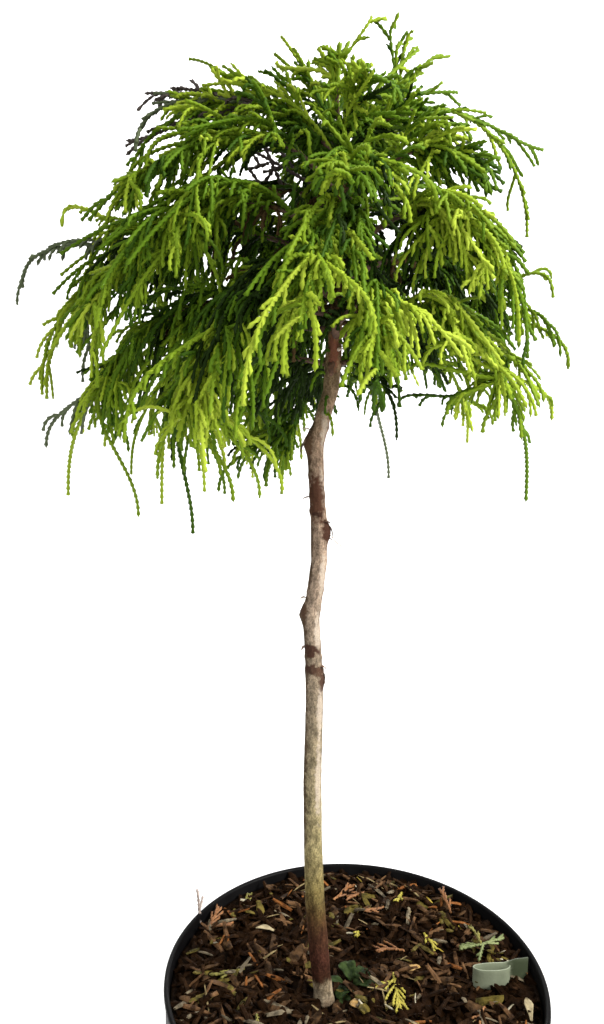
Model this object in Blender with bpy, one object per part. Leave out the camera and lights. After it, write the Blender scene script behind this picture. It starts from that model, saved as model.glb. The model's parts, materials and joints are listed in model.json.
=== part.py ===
# A small thuja grafted as a standard: one bare stem in a round black nursery pot, with a mop
# of hanging whipcord sprays on top. Metres, +Z up, the origin at the centre of the underside
# of the pot. The front of the plant faces -Y.

import math
import random

import bpy
import numpy as np
from mathutils import Vector
from mathutils.bvhtree import BVHTree

# Pot, turned about +Z
RIM_RADIUS = 0.0950
POT_HEIGHT = 0.1480
BASE_RADIUS = 0.0695
WALL = 0.0016
FLOOR = 0.0020
BAND_HEIGHT = 0.0200
BAND_STEP = 0.0040
POT_SEGMENTS = 44
DRAIN_HOLES = 8
DRAIN_RADIUS = 0.0050
DRAIN_RING = 0.0560

# Clearance left between pieces that touch on the real plant
GAP = 0.0003

# Potting mix, filling the pot to a few millimetres under its rim
MIX_LEVEL = 0.1385
MIX_LUMP = 0.0008
MIX_BACK_RISE = 0.0024
PAD_RADIUS = 0.0105
RAMP_RADIUS = 0.0260

# Blank loop label standing on the mix
LABEL_CENTRE = (0.0690, -0.0002)
LABEL_RADIUS = 0.0098
LABEL_WIDTH = 0.0105
LABEL_THICKNESS = 0.0008
LABEL_TAIL = 0.0115

# Stem: height, x, y and diameter at each station, from the flat cut at the soil to the tip of
# the grafted leader
STEM = (
    (0.1340, -0.0153, -0.0060, 0.0112),
    (0.1380, -0.0156, -0.0060, 0.0098),
    (0.1450, -0.0165, -0.0060, 0.0093),
    (0.1600, -0.0182, -0.0060, 0.0096),
    (0.1870, -0.0208, -0.0060, 0.0095),
    (0.2180, -0.0221, -0.0060, 0.0088),
    (0.2480, -0.0229, -0.0060, 0.0087),
    (0.2880, -0.0225, -0.0060, 0.0084),
    (0.3100, -0.0234, -0.0060, 0.0079),
    (0.3280, -0.0247, -0.0060, 0.0080),
    (0.3400, -0.0232, -0.0060, 0.0077),
    (0.3560, -0.0214, -0.0060, 0.0076),
    (0.3750, -0.0220, -0.0060, 0.0072),
    (0.3940, -0.0233, -0.0060, 0.0072),
    (0.4100, -0.0240, -0.0060, 0.0077),
    (0.4220, -0.0212, -0.0060, 0.0074),
    (0.4360, -0.0172, -0.0058, 0.0073),
    (0.4500, -0.0163, -0.0055, 0.0074),
    (0.4610, -0.0164, -0.0050, 0.0071),
    (0.4750, -0.0154, -0.0044, 0.0060),
    (0.4950, -0.0135, -0.0036, 0.0050),
    (0.5200, -0.0122, -0.0030, 0.0041),
    (0.5400, -0.0134, -0.0025, 0.0033),
    (0.5560, -0.0150, -0.0020, 0.0026),
)
STEM_SIDES = 11
STEM_RING_SPACING = 0.0115
# Knobs left by cut side shoots: height, bearing in degrees, how far out, half height
KNOBS = (
    (0.2990, 10, 0.0013, 0.0040),
    (0.3310, 180, 0.0019, 0.0045),
    (0.3700, 5, 0.0022, 0.0050),
    (0.4120, 175, 0.0022, 0.0050),
    (0.4600, -75, 0.0014, 0.0070),
)

# Crown envelope. The hem is centred left of the stem and hangs lower on the left; the top is
# centred nearly over the stem.
CROWN_RADIUS = 0.1240
CROWN_DEPTH_SHARE = 0.86
CROWN_BACK = 0.0060
HEM_HEIGHT = 0.4080
HEM_SWING = 0.0080
LOWEST_TIER = 0.4470
HIGHEST_TIER = 0.5540
HEM_CENTRE_X = -0.0340
TOP_CENTRE_X = 0.0020

# Tiers of the crown, from the hem up: name, masses, first bearing, height of the first root,
# height step, rise, bough length, reach as a share of the radius, height of the tips, fall of
# the tips, side cords in a mass. Angles in degrees. A tip height of None follows the hem.
TIERS = (
    ("under", 3, 205, 0.4470, 0.0040, 8, 0.000, 0.46, 0.4120, 78, 7),
    ("skirt", 8, 20, 0.4610, 0.0021, 8, 0.020, 0.86, None, 74, 9),
    ("shoulder", 7, 15, 0.4860, 0.0030, 22, 0.020, 1.03, 0.4560, 50, 9),
    ("upper", 6, 34, 0.5120, 0.0030, 32, 0.018, 0.86, 0.5080, 24, 9),
    ("crest", 5, 55, 0.5330, 0.0030, 44, 0.000, 0.68, 0.5600, -4, 8),
    ("top", 3, 15, 0.5490, 0.0025, 50, 0.000, 0.34, 0.5940, -62, 5),
)
SEED = 139
TIP_SPREAD = 0.0150
FORKED_CORDS = 4
BOUGH_ROOT_RADIUS = 0.0016
BOUGH_TIP_RADIUS = 0.0012
SPINE_RADIUS = 0.0018
CORD_RADIUS = 0.0017
SPINE_PIECES = 7
CORD_RINGS = 3
FORK_RINGS = 2
BLUNT_TIP = 0.0022
ROOT_SINK = 0.0012
ROOT_NECK = 0.0055
# Least distance by which every cord stays nearer to its own spine than to any other
MARGIN = 0.0044
LIMB_CLEARANCE = 0.0007

UP = np.array([0.0, 0.0, 1.0])


def unit(v):
    return v / np.linalg.norm(v)


def bearing(angle, rise):
    flat = math.cos(rise)
    return np.array([math.cos(angle) * flat, math.sin(angle) * flat, math.sin(rise)])


def bezier(control, t):
    points = [np.asarray(c, float) for c in control]
    while len(points) > 1:
        points = [a * (1 - t) + b * t for a, b in zip(points, points[1:])]
    return points[0]


def slope(control, t):
    return unit(bezier([b - a for a, b in zip(control, control[1:])], t))


def along(control, count, end=1.0):
    return np.array([bezier(control, end * k / count) for k in range(count + 1)])


def new_object(name, vertices, faces, finish, smooth=False):
    mesh = bpy.data.meshes.new(name)
    mesh.from_pydata([tuple(v) for v in vertices], [], faces)
    mesh.validate()
    mesh.materials.append(finish)
    for polygon in mesh.polygons:
        polygon.use_smooth = smooth
    thing = bpy.data.objects.new(name, mesh)
    bpy.context.scene.collection.objects.link(thing)
    return thing


def new_material(name, colour, roughness):
    material = bpy.data.materials.new(name)
    material.use_nodes = True
    principled = material.node_tree.nodes["Principled BSDF"]
    principled.inputs["Base Color"].default_value = (*colour, 1.0)
    principled.inputs["Roughness"].default_value = roughness
    return material


def turned(name, profile, segments, finish):
    """A solid turned about +Z from a profile that starts and ends on the axis."""
    vertices = [(0.0, 0.0, profile[0][1])]
    for radius, height in profile[1:-1]:
        for k in range(segments):
            angle = 2 * math.pi * k / segments
            vertices.append((radius * math.cos(angle), radius * math.sin(angle), height))
    vertices.append((0.0, 0.0, profile[-1][1]))
    rings = len(profile) - 2
    last = len(vertices) - 1
    faces = []
    for k in range(segments):
        n = (k + 1) % segments
        faces.append((0, 1 + n, 1 + k))
        for ring in range(rings - 1):
            low = 1 + ring * segments
            high = low + segments
            faces.append((low + k, low + n, high + n, high + k))
        top = 1 + (rings - 1) * segments
        faces.append((last, top + k, top + n))
    return new_object(name, vertices, faces, finish, smooth=True)


def spokes(direction, normal, sides, turn=0.0):
    """Unit spokes of a ring square to a direction, with the normal carried along."""
    if normal is None:
        normal = UP if abs(direction[2]) < 0.9 else np.array([1.0, 0.0, 0.0])
    normal = unit(normal - direction * float(normal @ direction))
    across = np.cross(direction, normal)
    angles = [2 * math.pi * k / sides + turn for k in range(sides)]
    return [normal * math.cos(a) + across * math.sin(a) for a in angles], normal


def tube(path, radii, sides, twist=0.0, sharp_start=False, sharp_end=False):
    """Vertices and faces of a closed tube along a path, each ring turned by twist on the last.
    A sharp end is a point; any other end is a flat cap."""
    vertices = []
    faces = []
    normal = None
    count = len(path)
    first = 1 if sharp_start else 0
    last = count - 1 if sharp_end else count
    for i in range(first, last):
        direction = unit(path[min(i + 1, count - 1)] - path[max(i - 1, 0)])
        ring, normal = spokes(direction, normal, sides, twist * i)
        vertices += [path[i] + spoke * radii[i] for spoke in ring]
    rings = last - first
    for i in range(rings - 1):
        low = i * sides
        high = low + sides
        for k in range(sides):
            n = (k + 1) % sides
            if twist:
                faces.append((low + k, low + n, high + k))
                faces.append((low + n, high + n, high + k))
            else:
                faces.append((low + k, low + n, high + n, high + k))
    top = (rings - 1) * sides
    if sharp_start:
        vertices.append(path[0])
        point = len(vertices) - 1
        faces += [(point, (k + 1) % sides, k) for k in range(sides)]
    else:
        faces.append(tuple(range(sides))[::-1])
    if sharp_end:
        vertices.append(path[-1])
        point = len(vertices) - 1
        faces += [(top + k, top + (k + 1) % sides, point) for k in range(sides)]
    else:
        faces.append(tuple(top + k for k in range(sides)))
    return vertices, faces


def fuse(thing, helpers, operation):
    """Joins or cuts with helper objects and removes them."""
    helper_set = bpy.data.collections.new(thing.name + " helpers")
    bpy.context.scene.collection.children.link(helper_set)
    for helper in helpers:
        for owner in list(helper.users_collection):
            owner.objects.unlink(helper)
        helper_set.objects.link(helper)
    modifier = thing.modifiers.new("Fuse", "BOOLEAN")
    modifier.operation = operation
    modifier.solver = "EXACT"
    modifier.operand_type = "COLLECTION"
    modifier.collection = helper_set
    depsgraph = bpy.context.evaluated_depsgraph_get()
    mesh = bpy.data.meshes.new_from_object(thing.evaluated_get(depsgraph))
    mesh.name = thing.name
    thing.modifiers.clear()
    thing.data = mesh
    for helper in list(helper_set.objects):
        bpy.data.objects.remove(helper)
    bpy.data.collections.remove(helper_set)
    return thing


# Start with an empty scene
for leftover in list(bpy.data.objects):
    bpy.data.objects.remove(leftover)

black_plastic = new_material("Black plastic", (0.012, 0.012, 0.013), 0.35)
dark_mix = new_material("Bark mulch", (0.055, 0.036, 0.022), 0.90)
pale_bark = new_material("Pale bark", (0.330, 0.245, 0.170), 0.80)
twig_bark = new_material("Twig bark", (0.150, 0.085, 0.050), 0.80)
green_scales = new_material("Green scale leaves", (0.110, 0.250, 0.025), 0.55)
label_plastic = new_material("Sage plastic", (0.430, 0.520, 0.400), 0.40)


# The pot: a plain wall with a stepped band under its rim
def wall_radius(height):
    """Outer radius of the plain wall below the band."""
    top = RIM_RADIUS - 0.0010 - BAND_STEP
    return BASE_RADIUS + (top - BASE_RADIUS) * height / (POT_HEIGHT - BAND_HEIGHT)


band_foot = POT_HEIGHT - BAND_HEIGHT
step_radius = wall_radius(band_foot)
pot_profile = [
    (0.0, 0.0),
    (BASE_RADIUS - 0.0022, 0.0),
    (wall_radius(0.0022), 0.0022),
    (step_radius, band_foot),
    (step_radius + BAND_STEP - 0.0008, band_foot + 0.0010),
    (step_radius + BAND_STEP, band_foot + 0.0022),
    (RIM_RADIUS - 0.0008, POT_HEIGHT - 0.0032),
    (RIM_RADIUS, POT_HEIGHT - 0.0024),
    (RIM_RADIUS, POT_HEIGHT - 0.0008),
    (RIM_RADIUS - 0.0007, POT_HEIGHT),
    (RIM_RADIUS - 0.0021, POT_HEIGHT),
    (RIM_RADIUS - 0.0027, POT_HEIGHT - 0.0008),
    (step_radius + BAND_STEP - WALL, band_foot + 0.0036),
    (step_radius + BAND_STEP - WALL - 0.0010, band_foot + 0.0026),
    (step_radius - WALL, band_foot + 0.0014),
    (wall_radius(0.0042) - WALL, 0.0042),
    (BASE_RADIUS - 0.0036, FLOOR),
    (0.0, FLOOR),
]
pot = turned("pot", pot_profile, POT_SEGMENTS, black_plastic)
drills = []
for k in range(DRAIN_HOLES):
    angle = 2 * math.pi * (k + 0.5) / DRAIN_HOLES
    centre = np.array([DRAIN_RING * math.cos(angle), DRAIN_RING * math.sin(angle), 0.0])
    shaft = [centre - UP * 0.002, centre + UP * (FLOOR + 0.002)]
    drills.append(new_object(f"drill_{k}", *tube(shaft, [DRAIN_RADIUS] * 2, 12), black_plastic))
pot = fuse(pot, drills, "DIFFERENCE")


# The potting mix: rings that run from a flat pad under the stem out to the wall
def mix_height(x, y):
    lumps = (
        math.sin(x * 173 + 0.6) * math.cos(y * 151 + 1.9)
        + 0.7 * math.sin(x * 311 - y * 257 + 2.2)
    )
    away = math.hypot(x - STEM[0][1], y - STEM[0][2])
    share = min(1.0, max(0.0, (away - PAD_RADIUS) / (RAMP_RADIUS - PAD_RADIUS)))
    share = share * share * (3 - 2 * share)
    pad = STEM[0][0] - GAP
    level = MIX_LEVEL + MIX_LUMP * lumps + MIX_BACK_RISE * max(0.0, y) / RIM_RADIUS
    return pad + (level - pad) * share


def mix_object():
    stem_spot = np.array([STEM[0][1], STEM[0][2]])
    edge = np.interp(MIX_LEVEL, [0.1310, POT_HEIGHT - 0.0008],
                     [step_radius + BAND_STEP - WALL, RIM_RADIUS - 0.0027]) - 2 * GAP
    rings = (
        (PAD_RADIUS, 0.0), (0.0180, 0.02), (RAMP_RADIUS, 0.08), (0.0400, 0.35),
        (0.0560, 0.62), (0.0700, 0.85), (0.0810, 0.97), (edge, 1.0),
    )
    vertices = [(stem_spot[0], stem_spot[1], mix_height(*stem_spot))]
    for radius, shift in rings:
        centre = stem_spot * (1 - shift)
        for k in range(POT_SEGMENTS):
            angle = 2 * math.pi * k / POT_SEGMENTS
            x = centre[0] + radius * math.cos(angle)
            y = centre[1] + radius * math.sin(angle)
            vertices.append((x, y, mix_height(x, y)))
    side = [
        (step_radius + BAND_STEP - WALL - 2 * GAP, band_foot + 0.0040),
        (step_radius - WALL - 2 * GAP, band_foot + 0.0018),
        (wall_radius(0.0050) - WALL - 2 * GAP, 0.0050),
        (BASE_RADIUS - 0.0046, FLOOR + GAP),
    ]
    for radius, height in side:
        for k in range(POT_SEGMENTS):
            angle = 2 * math.pi * k / POT_SEGMENTS
            vertices.append((radius * math.cos(angle), radius * math.sin(angle), height))
    vertices.append((0.0, 0.0, FLOOR + GAP))
    last = len(vertices) - 1
    count = len(rings) + len(side)
    faces = []
    for k in range(POT_SEGMENTS):
        n = (k + 1) % POT_SEGMENTS
        faces.append((0, 1 + k, 1 + n))
        for ring in range(count - 1):
            high = 1 + ring * POT_SEGMENTS
            low = high + POT_SEGMENTS
            faces.append((high + k, low + k, low + n, high + n))
        bottom = 1 + (count - 1) * POT_SEGMENTS
        faces.append((last, bottom + n, bottom + k))
    return new_object("substrate", vertices, faces, dark_mix)


substrate = mix_object()


# The loop label: a flat band bent into an open loop with a straight tail
def label_path():
    points = []
    for k in range(15):
        angle = math.radians(62 + 20.5 * k)
        x = LABEL_CENTRE[0] + LABEL_RADIUS * math.cos(angle)
        y = LABEL_CENTRE[1] + LABEL_RADIUS * 0.62 * math.sin(angle)
        points.append(np.array([x, y]))
    tail_direction = unit(np.array([0.80, 0.60]))
    start = points[-1]
    for k in range(1, 4):
        points.append(start + tail_direction * LABEL_TAIL * k / 3)
    return points


def label_foot(path):
    """Height at which the band rests on the mix, a hair clear of its highest facet."""
    surface = BVHTree.FromPolygons(
        [v.co for v in substrate.data.vertices], [p.vertices for p in substrate.data.polygons]
    )
    tops = []
    for start, end in zip(path, path[1:]):
        for k in range(5):
            spot = start + (end - start) * k / 4
            for side in (-0.5, 0.0, 0.5):
                x, y = spot + side * LABEL_THICKNESS
                hit = surface.ray_cast(Vector((x, y, 1.0)), Vector((0.0, 0.0, -1.0)))
                tops.append(hit[0].z)
    return max(tops) + GAP


def label_object():
    path = label_path()
    foot = label_foot(path)
    half = LABEL_THICKNESS / 2
    vertices = []
    for i, point in enumerate(path):
        ahead = path[min(i + 1, len(path) - 1)]
        behind = path[max(i - 1, 0)]
        direction = unit(ahead - behind)
        side = np.array([-direction[1], direction[0]]) * half
        for spot, height in ((point + side, 0), (point - side, 0),
                             (point - side, 1), (point + side, 1)):
            vertices.append((spot[0], spot[1], foot + LABEL_WIDTH * height))
    faces = [(0, 1, 2, 3)]
    for i in range(len(path) - 1):
        low = 4 * i
        for k in range(4):
            n = (k + 1) % 4
            faces.append((low + k, low + 4 + k, low + 4 + n, low + n))
    end = 4 * (len(path) - 1)
    faces.append((end + 3, end + 2, end + 1, end))
    return new_object("loop_label", vertices, faces, label_plastic)


loop_label = label_object()


# The stem, one solid from the soil to the tip of the leader
def stem_at(height):
    heights = [s[0] for s in STEM]
    return np.array([np.interp(height, heights, [s[1] for s in STEM]),
                     np.interp(height, heights, [s[2] for s in STEM]), height])


def stem_radius(height):
    return 0.5 * float(np.interp(height, [s[0] for s in STEM], [s[3] for s in STEM]))


def stem_skin(height, angle):
    """Radius of the stem at a height and a bearing, knobs included."""
    radius = stem_radius(height)
    for level, bear, out, half in KNOBS:
        turn = max(0.0, math.cos(angle - math.radians(bear)))
        radius += out * math.exp(-((height - level) / half) ** 2) * turn ** 3
    return radius


def stem_heights():
    """Every station, with rings added where two stations are far apart."""
    heights = [STEM[0][0]]
    for low, high in zip(STEM, STEM[1:]):
        pieces = math.ceil((high[0] - low[0]) / STEM_RING_SPACING)
        heights += [low[0] + (high[0] - low[0]) * k / pieces for k in range(1, pieces + 1)]
    return heights


def stem_object():
    vertices = []
    heights = stem_heights()
    for height in heights:
        centre = stem_at(height)
        for k in range(STEM_SIDES):
            angle = 2 * math.pi * k / STEM_SIDES
            vertices.append(centre + stem_skin(height, angle) * bearing(angle, 0.0))
    faces = [tuple(range(STEM_SIDES))[::-1]]
    for i in range(len(heights) - 1):
        low = i * STEM_SIDES
        for k in range(STEM_SIDES):
            n = (k + 1) % STEM_SIDES
            faces.append((low + k, low + n, low + STEM_SIDES + n, low + STEM_SIDES + k))
    top = (len(heights) - 1) * STEM_SIDES
    faces.append(tuple(top + k for k in range(STEM_SIDES)))
    return new_object("trunk", vertices, faces, pale_bark, smooth=True)


trunk = stem_object()


# Plan of the crown: one limb and one spine for each mass
def seat(level, heading, radius, sides):
    """The start of a limb whose flat end stands clear of the stem by the gap."""
    ring = [spoke * radius for spoke in spokes(heading, None, sides)[0]]
    ring += [(a + b) / 2 for a, b in zip(ring, ring[1:] + ring[:1])]
    stations = np.array([s[:3] for s in STEM])[:, [1, 2, 0]]
    away = 0.0100
    while away > 0.0:
        points = stem_at(level) + heading * away + np.array(ring)
        near = distances(points, stations[:-1], stations[1:]).min(1)
        for point, distance in zip(points, near):
            spoke = point - stem_at(point[2])
            skin = stem_skin(point[2], math.atan2(spoke[1], spoke[0]))
            if distance < skin + GAP:
                return stem_at(level) + heading * (away + 0.00004)
        away -= 0.00004
    return stem_at(level)


def crown_plan():
    dice = random.Random(SEED)
    plan = []
    for name, count, first, height, step, rise, length, share, tip_height, fall, sides in TIERS:
        for i in range(count):
            angle = math.radians(first + 360 / count * (i + dice.uniform(-0.12, 0.12)))
            level = height + step * ((i * 3) % count)
            up_angle = math.radians(rise + dice.uniform(-5, 5))
            heading = bearing(angle, up_angle)
            if length:
                root = seat(level, heading, BOUGH_ROOT_RADIUS, 6)
            else:
                root = seat(level, heading, SPINE_RADIUS, 3)
            start = root + heading * length
            reach = CROWN_RADIUS * share * dice.uniform(0.94, 1.02)
            lift = (level - LOWEST_TIER) / (HIGHEST_TIER - LOWEST_TIER)
            centre_x = HEM_CENTRE_X + (TOP_CENTRE_X - HEM_CENTRE_X) * lift ** 3
            hem = HEM_HEIGHT + HEM_SWING * math.cos(angle)
            if tip_height is None:
                low = hem + dice.uniform(-0.007, 0.007)
            else:
                low = tip_height + dice.uniform(-TIP_SPREAD, TIP_SPREAD)
            tip = np.array([
                centre_x + reach * math.cos(angle),
                CROWN_BACK + CROWN_DEPTH_SHARE * reach * math.sin(angle),
                low,
            ])
            limb = None
            if length:
                limb = [root, root + heading * length / 2, start]
                start = start + heading * GAP
            span = float(np.linalg.norm(tip - start))
            last_heading = bearing(angle, -math.radians(fall))
            spine = [start, start + heading * span * 0.42, tip - last_heading * span * 0.42, tip]
            plan.append({
                "name": f"{name}_{i + 1}", "angle": angle, "limb": limb, "spine": spine,
                "span": span, "fall": fall, "sides": sides, "seed": dice.random(),
            })
    return plan


def distances(points, starts, ends):
    """Distance of every point from every segment."""
    run = ends - starts
    offset = points[:, None, :] - starts[None]
    t = (offset * run[None]).sum(2) / (run * run).sum(1)[None]
    t = np.clip(t, 0.0, 1.0)
    return np.linalg.norm(offset - t[..., None] * run[None], axis=2)


class Space:
    """Says how far a cord may run before it leaves its mass's space or nears a limb."""

    def __init__(self, plan):
        pieces = 16
        lines = [along(entry["spine"], pieces) for entry in plan]
        self.starts = np.concatenate([line[:-1] for line in lines])
        self.ends = np.concatenate([line[1:] for line in lines])
        self.owner = np.repeat(np.arange(len(plan)), pieces)
        limbs = []
        for height in np.arange(0.43, STEM[-1][0], 0.004):
            top = min(height + 0.004, STEM[-1][0])
            limbs.append((stem_at(height), stem_at(top), stem_radius(height)))
        for entry in plan:
            if entry["limb"]:
                line = along(entry["limb"], 4)
                limbs += [(a, b, BOUGH_ROOT_RADIUS) for a, b in zip(line, line[1:])]
        self.limb_starts = np.array([limb[0] for limb in limbs])
        self.limb_ends = np.array([limb[1] for limb in limbs])
        self.limb_radii = np.array([limb[2] for limb in limbs])

    def clear(self, points, mine):
        away = distances(points, self.starts, self.ends)
        own = away[:, self.owner == mine].min(1)
        other = away[:, self.owner != mine].min(1)
        limb = (distances(points, self.limb_starts, self.limb_ends) - self.limb_radii).min(1)
        return (own <= other - MARGIN) & (limb > CORD_RADIUS + LIMB_CLEARANCE)

    def run(self, control, mine):
        """Share of a cord that keeps to the space."""
        steps = 12
        fine = self.clear(along(control, steps), mine)
        if fine.all():
            return 1.0
        return max(0, int(np.argmin(fine)) - 1) / steps


def mass_cords(entry, mine, space):
    """Side cords and forks of one mass, each with the share of it that is kept."""
    dice = random.Random(entry["seed"])
    spine = entry["spine"]
    side = np.array([-math.sin(entry["angle"]), math.cos(entry["angle"]), 0.0])
    droop = 1.0 if entry["fall"] > 30 else 0.4 if entry["fall"] > 5 else -0.1
    cords = []
    for k in range(entry["sides"]):
        t = 0.10 + 0.76 * k / (entry["sides"] - 1)
        hand = 1 if k % 2 else -1
        heading = slope(spine, t)
        spread = math.radians(dice.uniform(30, 52))
        above = unit(np.cross(heading, side))
        above = above * (1 if above[2] > 0 else -1)
        out = heading * math.cos(spread) + side * hand * math.sin(spread)
        out = unit(out + above * dice.uniform(-0.25, 0.50))
        length = entry["span"] * dice.uniform(0.40, 0.60) * (1 - 0.5 * t)
        sag = dice.uniform(0.7, 1.2) * droop
        root = bezier(spine, t)
        cord = [root, root + out * length / 2, root + (out - UP * 0.5 * sag) * length]
        kept = space.run(cord, mine)
        if kept * length < 0.011:
            continue
        cords.append((cord, kept, length, CORD_RINGS))
        if k >= FORKED_CORDS:
            continue
        t = dice.uniform(0.30, 0.60) * kept
        fork_out = unit(slope(cord, t) - side * hand * dice.uniform(0.3, 0.7)
                        + UP * dice.uniform(-0.2, 0.2))
        fork_length = length * dice.uniform(0.35, 0.55)
        root = bezier(cord, t)
        fork = [root, root + fork_out * fork_length / 2,
                root + (fork_out - UP * 0.4 * sag) * fork_length]
        kept = space.run(fork, mine)
        if kept * fork_length >= 0.010:
            cords.append((fork, kept, fork_length, FORK_RINGS))
    return cords


def spine_mesh(control):
    """The stem of a mass: a flat cap at its limb and a blunt tip."""
    path = along(control, SPINE_PIECES)
    last = path[-1] - path[-2]
    ring = path[-1] - last * min(0.5, BLUNT_TIP / np.linalg.norm(last))
    path = np.concatenate([path[:-1], [ring, path[-1]]])
    radii = np.linspace(SPINE_RADIUS, 0.8 * SPINE_RADIUS, len(path))
    return tube(path, radii, 3, twist=math.pi / 3, sharp_end=True)


def cord_mesh(control, kept, length, rings):
    """A cord with its root sunk in its parent, a short neck and a blunt tip."""
    total = kept * length
    shares = np.linspace(min(0.4, ROOT_NECK / total), 1 - min(0.3, BLUNT_TIP / total), rings)
    root = bezier(control, 0.0) - slope(control, 0.0) * ROOT_SINK
    path = np.array([root] + [bezier(control, kept * share) for share in (*shares, 1.0)])
    radii = np.linspace(CORD_RADIUS, 0.82 * CORD_RADIUS, len(path))
    return tube(path, radii, 3, twist=math.pi / 3, sharp_start=True, sharp_end=True)


def grow(plan):
    space = Space(plan)
    for mine, entry in enumerate(plan):
        if entry["limb"]:
            line = along(entry["limb"], 2)
            radii = np.linspace(BOUGH_ROOT_RADIUS, BOUGH_TIP_RADIUS, 3)
            new_object("bough_" + entry["name"], *tube(line, radii, 6), twig_bark, smooth=True)
        mass = new_object("foliage_" + entry["name"],
                          *spine_mesh(entry["spine"]), green_scales)
        helpers = []
        for number, cord in enumerate(mass_cords(entry, mine, space)):
            helpers.append(new_object(f"cord_{number}", *cord_mesh(*cord), green_scales))
        fuse(mass, helpers, "UNION")


grow(crown_plan())
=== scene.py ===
# %% [markdown]
# # A grafted thuja standard in a nursery pot
# The plant is a bare stem with a mop of hanging whipcord sprays on top. The solids of the
# part give its frame: this lesson dresses them. It goes from the camera to the pot, the
# mulch, the stem and then the foliage, which is the largest step, and each finish is made
# where its piece is made.

# %% Load the solids and keep their box
import json
import math
import random

import bmesh
import bpy
import numpy as np
from mathutils import Matrix, Vector, noise

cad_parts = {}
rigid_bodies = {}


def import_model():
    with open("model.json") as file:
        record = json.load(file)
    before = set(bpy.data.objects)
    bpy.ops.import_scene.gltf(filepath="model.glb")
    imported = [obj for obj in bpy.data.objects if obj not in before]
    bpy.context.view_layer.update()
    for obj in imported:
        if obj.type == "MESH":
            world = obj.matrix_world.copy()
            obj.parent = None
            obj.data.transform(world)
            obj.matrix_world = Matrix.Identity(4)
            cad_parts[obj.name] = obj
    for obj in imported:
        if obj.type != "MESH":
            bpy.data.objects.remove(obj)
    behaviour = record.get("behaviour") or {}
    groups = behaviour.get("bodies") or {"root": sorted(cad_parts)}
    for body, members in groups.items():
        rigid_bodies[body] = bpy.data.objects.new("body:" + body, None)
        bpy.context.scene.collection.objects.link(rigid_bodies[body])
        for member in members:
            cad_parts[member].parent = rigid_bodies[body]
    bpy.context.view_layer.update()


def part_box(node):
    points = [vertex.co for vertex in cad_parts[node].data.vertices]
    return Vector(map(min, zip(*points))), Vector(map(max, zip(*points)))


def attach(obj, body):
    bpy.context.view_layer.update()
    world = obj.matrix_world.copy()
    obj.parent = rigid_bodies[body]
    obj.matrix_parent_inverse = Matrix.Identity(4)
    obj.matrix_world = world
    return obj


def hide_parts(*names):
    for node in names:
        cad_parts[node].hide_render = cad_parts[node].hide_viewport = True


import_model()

# %% [markdown]
# ## The camera
# The photograph was taken by hand from close by, a little above the foliage's foot, looking
# slightly down. The ellipse of the pot's rim gives the place and the lens. The camera is set by
# its three axes, because a small roll is hard to give in Euler angles.

# %% Set the camera
CAMERA_PLACE = Vector((-0.0298, -0.3656, 0.4139))
CAMERA_PITCH = math.radians(5.55)
CAMERA_ROLL = math.radians(0.83)
LENS_MM = 27.07


def set_camera():
    ahead = Vector((0.0, math.cos(CAMERA_PITCH), -math.sin(CAMERA_PITCH)))
    level_up = Vector((0.0, math.sin(CAMERA_PITCH), math.cos(CAMERA_PITCH)))
    right = Vector((1, 0, 0)) * math.cos(CAMERA_ROLL) + level_up * math.sin(CAMERA_ROLL)
    up = level_up * math.cos(CAMERA_ROLL) - Vector((1, 0, 0)) * math.sin(CAMERA_ROLL)
    data = bpy.data.cameras.new("camera")
    data.lens = LENS_MM
    data.clip_start = 0.01
    camera = bpy.data.objects.new("camera", data)
    place = Matrix((right, up, -ahead)).transposed().to_4x4()
    place.translation = CAMERA_PLACE
    camera.matrix_world = place
    bpy.context.scene.collection.objects.link(camera)
    bpy.context.scene.camera = camera
    return camera


camera = set_camera()
print("camera at", [round(v, 4) for v in camera.location])

# %% [markdown]
# ## Helpers for meshes
# Most pieces here are grown from arrays: long lists of corners and faces that numpy makes at
# once. One helper turns such arrays into an object. The object stays at the origin, and its
# place is in its mesh.

# %% Make an object from arrays
def mesh_object(name, corners, faces, finish):
    """An object from an array of corners and an array, or a list, of faces."""
    mesh = bpy.data.meshes.new(name)
    if isinstance(faces, np.ndarray):
        count, sides = faces.shape
        mesh.vertices.add(len(corners))
        mesh.vertices.foreach_set("co", np.asarray(corners, np.float32).ravel())
        mesh.loops.add(count * sides)
        mesh.loops.foreach_set("vertex_index", faces.astype(np.int32).ravel())
        mesh.polygons.add(count)
        mesh.polygons.foreach_set("loop_start", np.arange(0, count * sides, sides, dtype=np.int32))
        mesh.update(calc_edges=True)
    else:
        mesh.from_pydata([tuple(c) for c in corners], [], faces)
    mesh.polygons.foreach_set("use_smooth", np.ones(len(mesh.polygons), bool))
    mesh.materials.append(finish)
    mesh.validate()
    thing = bpy.data.objects.new(name, mesh)
    bpy.context.scene.collection.objects.link(thing)
    return thing


def grid_faces(rows, columns, closed=True):
    """Quads of a grid of rows of corners, each row a closed ring unless told otherwise."""
    across = np.arange(columns if closed else columns - 1)
    low = (np.arange(rows - 1) * columns)[:, None]
    here = low + across
    beside = low + (across + 1) % columns
    return np.stack([here, beside, beside + columns, here + columns], 2).reshape(-1, 4)


def face_outwards(mesh):
    """Turns every face of a closed mesh outwards."""
    shell = bmesh.new()
    shell.from_mesh(mesh)
    bmesh.ops.recalc_face_normals(shell, faces=shell.faces)
    shell.to_mesh(mesh)
    shell.free()


def dress(piece, node_names):
    """Lets a piece ride on the plant and stand for its solids, which it hides."""
    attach(piece, "root")
    if node_names:
        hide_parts(*node_names)
    print(piece.name, "has", len(piece.data.polygons), "faces")


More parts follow.
